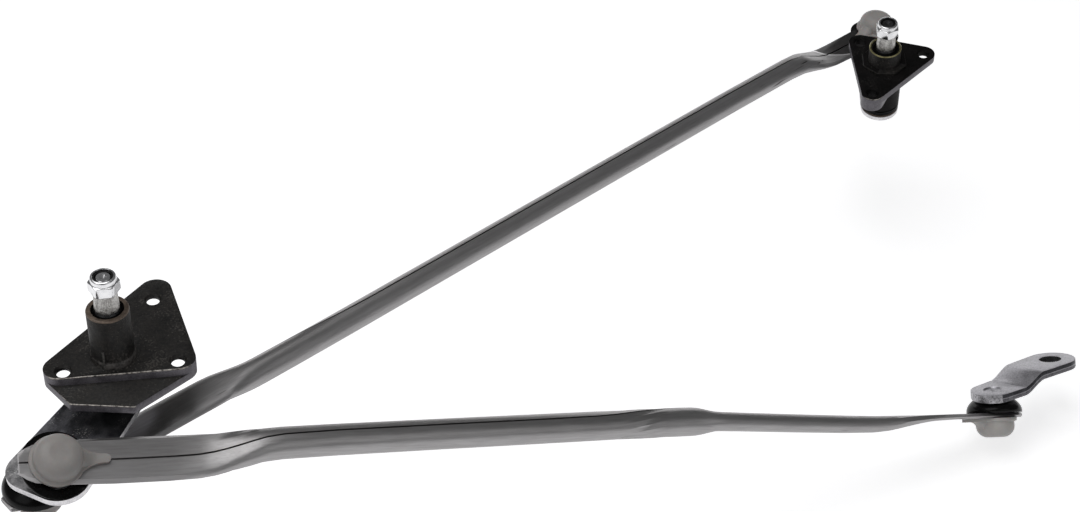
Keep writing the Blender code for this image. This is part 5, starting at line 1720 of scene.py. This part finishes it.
@dataclass
class RolledLink:
    """One steel strip folded to a tube with an open seam, its ends pressed flat."""

    bench: Bench
    name: str
    place: Matrix
    body: Body

    def build(self) -> None:
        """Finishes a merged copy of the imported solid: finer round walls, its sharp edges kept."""
        node = self.name + "_tube"
        tube = copy_of_node(self.bench.frame["nodes"][node], self.name + "_strip")
        with editing(tube):
            bpy.ops.mesh.select_all(action="DESELECT")
            bpy.ops.mesh.select_mode(type="EDGE")
            bpy.ops.mesh.edges_select_sharp(sharpness=CREASE_ANGLE)
            bpy.ops.transform.edge_crease(value=1.0)
        finer = tube.modifiers.new("finer", "SUBSURF")
        finer.levels = 1
        finer.render_levels = 1
        apply_modifiers(tube)
        # The steel finish carries a painted dark reflection on the far flat, edged by a painted
        # highlight line.
        self.bench.dress(tube, LINK_STEEL_SHADED, frame=self.place, label=self.name)
        self.bench.deliver(tube, Matrix.Identity(4), self.body, [node], CREASE_ANGLE)


# Studio


@dataclass(frozen=True)
class Lamp:
    """A rectangular lamp, where it stands and what it points at."""

    name: str
    place: tuple[float, float, float]
    target: tuple[float, float, float]
    size: Point
    power: float


LAMPS = (
    Lamp("overhead", (-0.38, 0.05, 1.60), (0.1, 0.10, -0.05), (1.4, 1.4), 14.0),
    Lamp("front_left", (-0.9, -1.2, 1.00), (0.1, 0.0, -0.05), (1.2, 1.2), 4.0),
    Lamp("front_right", (1.3, -0.9, 0.90), (0.35, 0.1, -0.05), (1.2, 1.2), 3.0),
    Lamp("rear", (0.25, 2.20, 0.08), (0.25, 0.15, -0.05), (3.0, 0.4), 6.5),
)


@dataclass
class Studio:
    """Camera, floor, lamps and world."""

    eye: tuple[float, float, float] = (0.1992, -0.5902, 0.5575)
    right: tuple[float, float, float] = (0.9974, 0.0451, 0.0556)
    up: tuple[float, float, float] = (-0.0716, 0.6282, 0.7747)
    forward: tuple[float, float, float] = (0.0, 0.7767, -0.6298)
    lens: float = 56.67
    sensor: float = 36.0
    floor_height: float = -0.160
    floor_size: float = 8.0
    floor_color: Color = (0.86, 0.86, 0.87)
    floor_glow: Point = (0.62, 0.58)
    world_color: Color = (0.98, 0.99, 1.0)
    world_glow: Point = (0.14, 0.86)

    def build(self) -> None:
        """Builds the whole studio."""
        self.build_camera()
        self.build_floor()
        self.build_lamps()
        self.build_world()
        bpy.context.scene.view_settings.view_transform = "Standard"

    def build_camera(self) -> None:
        """Camera at the photograph's viewpoint."""
        data = bpy.data.cameras.new("camera")
        data.lens = self.lens
        data.sensor_fit = "HORIZONTAL"
        data.sensor_width = self.sensor
        data.clip_start = 0.01
        data.clip_end = 30.0
        camera = bpy.data.objects.new("camera", data)
        back = -Vector(self.forward)
        matrix = Matrix((Vector(self.right), Vector(self.up), back)).transposed().to_4x4()
        matrix.translation = self.eye
        camera.matrix_world = matrix
        bpy.context.scene.collection.objects.link(camera)
        bpy.context.scene.camera = camera

    def build_floor(self) -> None:
        """White ground that keeps the object's soft shadow."""
        bpy.ops.object.select_all(action="DESELECT")
        bpy.ops.mesh.primitive_plane_add(size=self.floor_size, location=(0.2, 0.2, self.floor_height))
        floor = bpy.context.object
        floor.name = "floor"
        material = bpy.data.materials.new("white_ground")
        material.use_nodes = True
        tree = material.node_tree
        shader = tree.nodes["Principled BSDF"]
        shader.inputs["Base Color"].default_value = (*self.floor_color, 1.0)
        shader.inputs["Roughness"].default_value = 0.9
        shader.inputs["Specular IOR Level"].default_value = 0.0
        shader.inputs["Emission Color"].default_value = (1.0, 1.0, 1.0, 1.0)
        light = tree.nodes.new("ShaderNodeLightPath")
        seen = add_math(tree, "MULTIPLY", light.outputs["Is Camera Ray"], self.floor_glow[0])
        glossy = add_math(tree, "MULTIPLY", light.outputs["Is Glossy Ray"], self.floor_glow[1])
        feed(tree, shader.inputs["Emission Strength"], add_math(tree, "ADD", seen, glossy))
        floor.data.materials.append(material)

    def build_lamps(self) -> None:
        """Broad soft lamps overhead, in front and behind."""
        for row in LAMPS:
            data = bpy.data.lights.new(row.name, "AREA")
            data.shape = "RECTANGLE"
            data.size, data.size_y = row.size
            data.energy = row.power
            lamp = bpy.data.objects.new(row.name, data)
            lamp.location = row.place
            aim = Vector(row.target) - Vector(row.place)
            lamp.rotation_euler = aim.to_track_quat("-Z", "Y").to_euler()
            bpy.context.scene.collection.objects.link(lamp)

    def build_world(self) -> None:
        """Dim grey surroundings, white where the camera sees them."""
        world = bpy.data.worlds.new("studio")
        bpy.context.scene.world = world
        world.use_nodes = True
        tree = world.node_tree
        background = tree.nodes["Background"]
        background.inputs["Color"].default_value = (*self.world_color, 1.0)
        light = tree.nodes.new("ShaderNodeLightPath")
        camera = add_math(tree, "MULTIPLY", light.outputs["Is Camera Ray"], self.world_glow[1])
        feed(tree, background.inputs["Strength"], add_math(tree, "ADD", camera, self.world_glow[0]))


# The linkage


@dataclass
class Linkage:
    """All sub-assemblies in their places."""

    bench: Bench
    left_heading: float = -106.4
    drive_stud: Point = (0.0640, 6.7)
    link_stud: Point = (0.0625, -6.7)
    right_radius: float = 0.0635
    right_heading: float = 87.9
    right_lean: float = 11.1
    right_lean_heading: float = 52.8
    left_boss: float = 0.0290
    right_boss: float = 0.0125
    drive_heading: float = 22.9
    drive_elevation: float = -13.9
    drive_left_roll: float = 23.5
    drive_right_roll: float = -43.9
    long_heading: float = 46.7
    long_elevation: float = 0.5
    motor_heading: float = 7.5
    ball_height: float = 0.0135
    motor_ball_height: float = 0.0153
    lever: float = 0.0030
    motor_arm: float = 0.0050
    motor_recess: float = 0.0009

    def link_place(self, joint: str, heading: float, elevation: float) -> Matrix:
        """Frame of a link, its x along the link and its z as near to upright as can be.

        Args:
            joint: The joint at its start.
            heading: Its direction about +Z, in degrees.
            elevation: Its rise above the level, in degrees.

        Returns:
            The frame.
        """
        flat = math.cos(math.radians(elevation))
        x = Vector((flat * math.cos(math.radians(heading)), flat * math.sin(math.radians(heading)),
                    math.sin(math.radians(elevation))))
        upright = Vector((0.0, 0.0, 1.0))
        z = (upright - upright.dot(x) * x).normalized()
        matrix = Matrix((x, z.cross(x), z)).transposed().to_4x4()
        matrix.translation = self.bench.joint_place(joint)
        return matrix

    def build(self) -> None:
        """Builds every sub-assembly in order."""
        bench = self.bench
        left_crank = turn_about_z(self.left_heading)
        lean = turn_about_z(self.right_lean_heading) @ Matrix.Rotation(
            math.radians(-self.right_lean), 4, "Y") @ turn_about_z(-self.right_lean_heading)
        right = Matrix.Translation(bench.joint_place("right_spindle_turn")) @ lean
        right_crank = right @ turn_about_z(self.right_heading)
        left_pivot = LeftPivot(bench, "left", Matrix.Identity(4), left_crank, Body.LEFT_PIVOT,
                               Body.LEFT_CRANK, self.left_boss)
        left_pivot.build()
        # The far housing's skin is the darker, painted-shade copy of the cast black.
        right_pivot = RightPivot(bench, "right", right, right_crank, Body.RIGHT_PIVOT, Body.RIGHT_CRANK,
                                 self.right_boss, skin_finish=CAST_SHADED_BLACK, rim_finish=MOUTH_RIM,
                                 bare_boss=True, dark_end=True)
        right_pivot.build()
        self.build_cranks(left_pivot, right_pivot, left_crank, right_crank)
        drive = self.link_place("drive_link_left_ball", self.drive_heading, self.drive_elevation)
        long_link = self.link_place("long_link_left_ball", self.long_heading, self.long_elevation)
        RolledLink(bench, "drive_link", drive, Body.DRIVE_LINK).build()
        RolledLink(bench, "long_link", long_link, Body.LONG_LINK).build()
        self.build_joints(drive, long_link, right)
        self.dress_hidden_solids()

    def build_cranks(self, left: Pivot, right: Pivot, left_place: Matrix,
                     right_place: Matrix) -> None:
        """Builds the levers, the motor crank and all ball studs.

        Args:
            left: The left pivot.
            right: The right pivot.
            left_place: Frame of the left crank.
            right_place: Frame of the right crank.
        """
        bench = self.bench
        studs = [(*self.around(self.link_stud), True), (*self.around(self.drive_stud), False)]
        CrankLever(bench, "left", left_place, Body.LEFT_CRANK, left.lever_top, 0.0158, studs).build()
        CrankLever(bench, "right", right_place, Body.RIGHT_CRANK, right.lever_top, 0.0120,
                   [(self.right_radius, 0.0, False)]).build()
        motor = self.motor_place()
        MotorCrank(bench, motor).build()
        stud = BallStud(bench)
        down = Matrix.Rotation(math.pi, 4, "X")
        up_ball = left_place @ Matrix.Translation(
            (*self.around(self.drive_stud), left.lever_top + self.ball_height))
        down_ball = left_place @ Matrix.Translation(
            (*self.around(self.link_stud), left.lever_top - self.lever - self.ball_height)) @ down
        right_ball = right_place @ Matrix.Translation(
            (self.right_radius, 0.0, right.lever_top + self.ball_height))
        rows = (
            ("left_drive", up_ball, self.ball_height, self.lever, Body.LEFT_CRANK, BRIGHT_ZINC),
            ("left_link", down_ball, self.ball_height, self.lever, Body.LEFT_CRANK, BRIGHT_ZINC),
            ("right", right_ball, self.ball_height, self.lever, Body.RIGHT_CRANK, BRIGHT_ZINC),
            ("motor_crank", motor @ down, self.motor_ball_height, self.motor_arm, Body.MOTOR_CRANK,
             ARM_ZINC),
        )
        for name, place, height, plate, body, foot in rows:
            recess = self.motor_recess if foot is ARM_ZINC else FIT
            stud.build(name + "_stud", name + "_ball_stud", height, plate, place, body, foot, recess)

    @staticmethod
    def around(place: Point) -> Point:
        """Turns a radius and an angle in degrees into x and y."""
        radius, degrees = place
        return (radius * math.cos(math.radians(degrees)), radius * math.sin(math.radians(degrees)))

    def motor_place(self) -> Matrix:
        """Frame of the motor crank, its z along the stud and its x along the arm.

        Returns:
            The frame.
        """
        drive = self.link_place("drive_link_left_ball", self.drive_heading, self.drive_elevation)
        along = drive.to_3x3() @ Vector((1.0, 0.0, 0.0))
        place = axes_matrix(self.bench.joint_place("motor_crank_ball"), along,
                            self.bench.joint_axis("motor_crank_ball"))
        return place @ turn_about_z(self.motor_heading)

    def build_joints(self, drive: Matrix, long_link: Matrix, right: Matrix) -> None:
        """Builds the four ball joints, each between its link's face and its stud.

        Args:
            drive: Frame of the drive link.
            long_link: Frame of the long link.
            right: Frame of the right pivot.
        """
        def rolled(roll: float) -> Vector:
            """The flat's upward normal in the link's frame, rolled about its length."""
            return Vector((0.0, -math.sin(math.radians(roll)), math.cos(math.radians(roll))))

        rows = (
            ("drive_link_left", "drive_link_left_ball", drive, rolled(self.drive_left_roll), 1.0,
             Vector((0.0, 0.0, 1.0)), self.ball_height, Body.DRIVE_LINK),
            ("drive_link_right", "motor_crank_ball", drive, -rolled(self.drive_right_roll), -1.0,
             -self.bench.joint_axis("motor_crank_ball"), self.motor_ball_height, Body.DRIVE_LINK),
            ("long_link_left", "long_link_left_ball", long_link, -rolled(0.0), 1.0,
             Vector((0.0, 0.0, -1.0)), self.ball_height, Body.LONG_LINK),
            ("long_link_right", "long_link_right_ball", long_link, rolled(0.0), -1.0,
             right.to_3x3() @ Vector((0.0, 0.0, 1.0)), self.ball_height, Body.LONG_LINK),
        )
        for name, joint, link, normal, way, stud_axis, height, body in rows:
            turn = link.to_3x3()
            origin = self.bench.joint_place(joint)
            along = turn @ Vector((way, 0.0, 0.0))
            socket = axes_matrix(origin, along, turn @ normal)
            stud = axes_matrix(origin, along, stud_axis)
            # The motor joint's cap takes the paler, painted-light copy of the grey nylon.
            cap_finish = NYLON_LIT if joint == "motor_crank_ball" else NYLON
            BallJoint(self.bench, name, socket, stud, body, height, cap_finish=cap_finish).build()

    def dress_hidden_solids(self) -> None:
        """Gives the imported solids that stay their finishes."""
        slots = {row["node"]: row["material_slot"] for row in self.bench.frame["record"]["subparts"]}
        for name, node in self.bench.frame["nodes"].items():
            finish = CAD_FINISHES[slots[name]]
            material = self.bench.shop.get(finish)
            if node.material_slots:
                for slot in node.material_slots:
                    slot.material = material
            else:
                node.data.materials.append(material)


def main() -> None:
    """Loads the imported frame, builds the linkage and the studio, and notes the sizes."""
    logging.basicConfig(level=logging.INFO, format="%(message)s")
    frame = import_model()
    bench = Bench(frame, FinishShop())
    Linkage(bench).build()
    Studio().build()


if __name__ == "__main__":
    main()
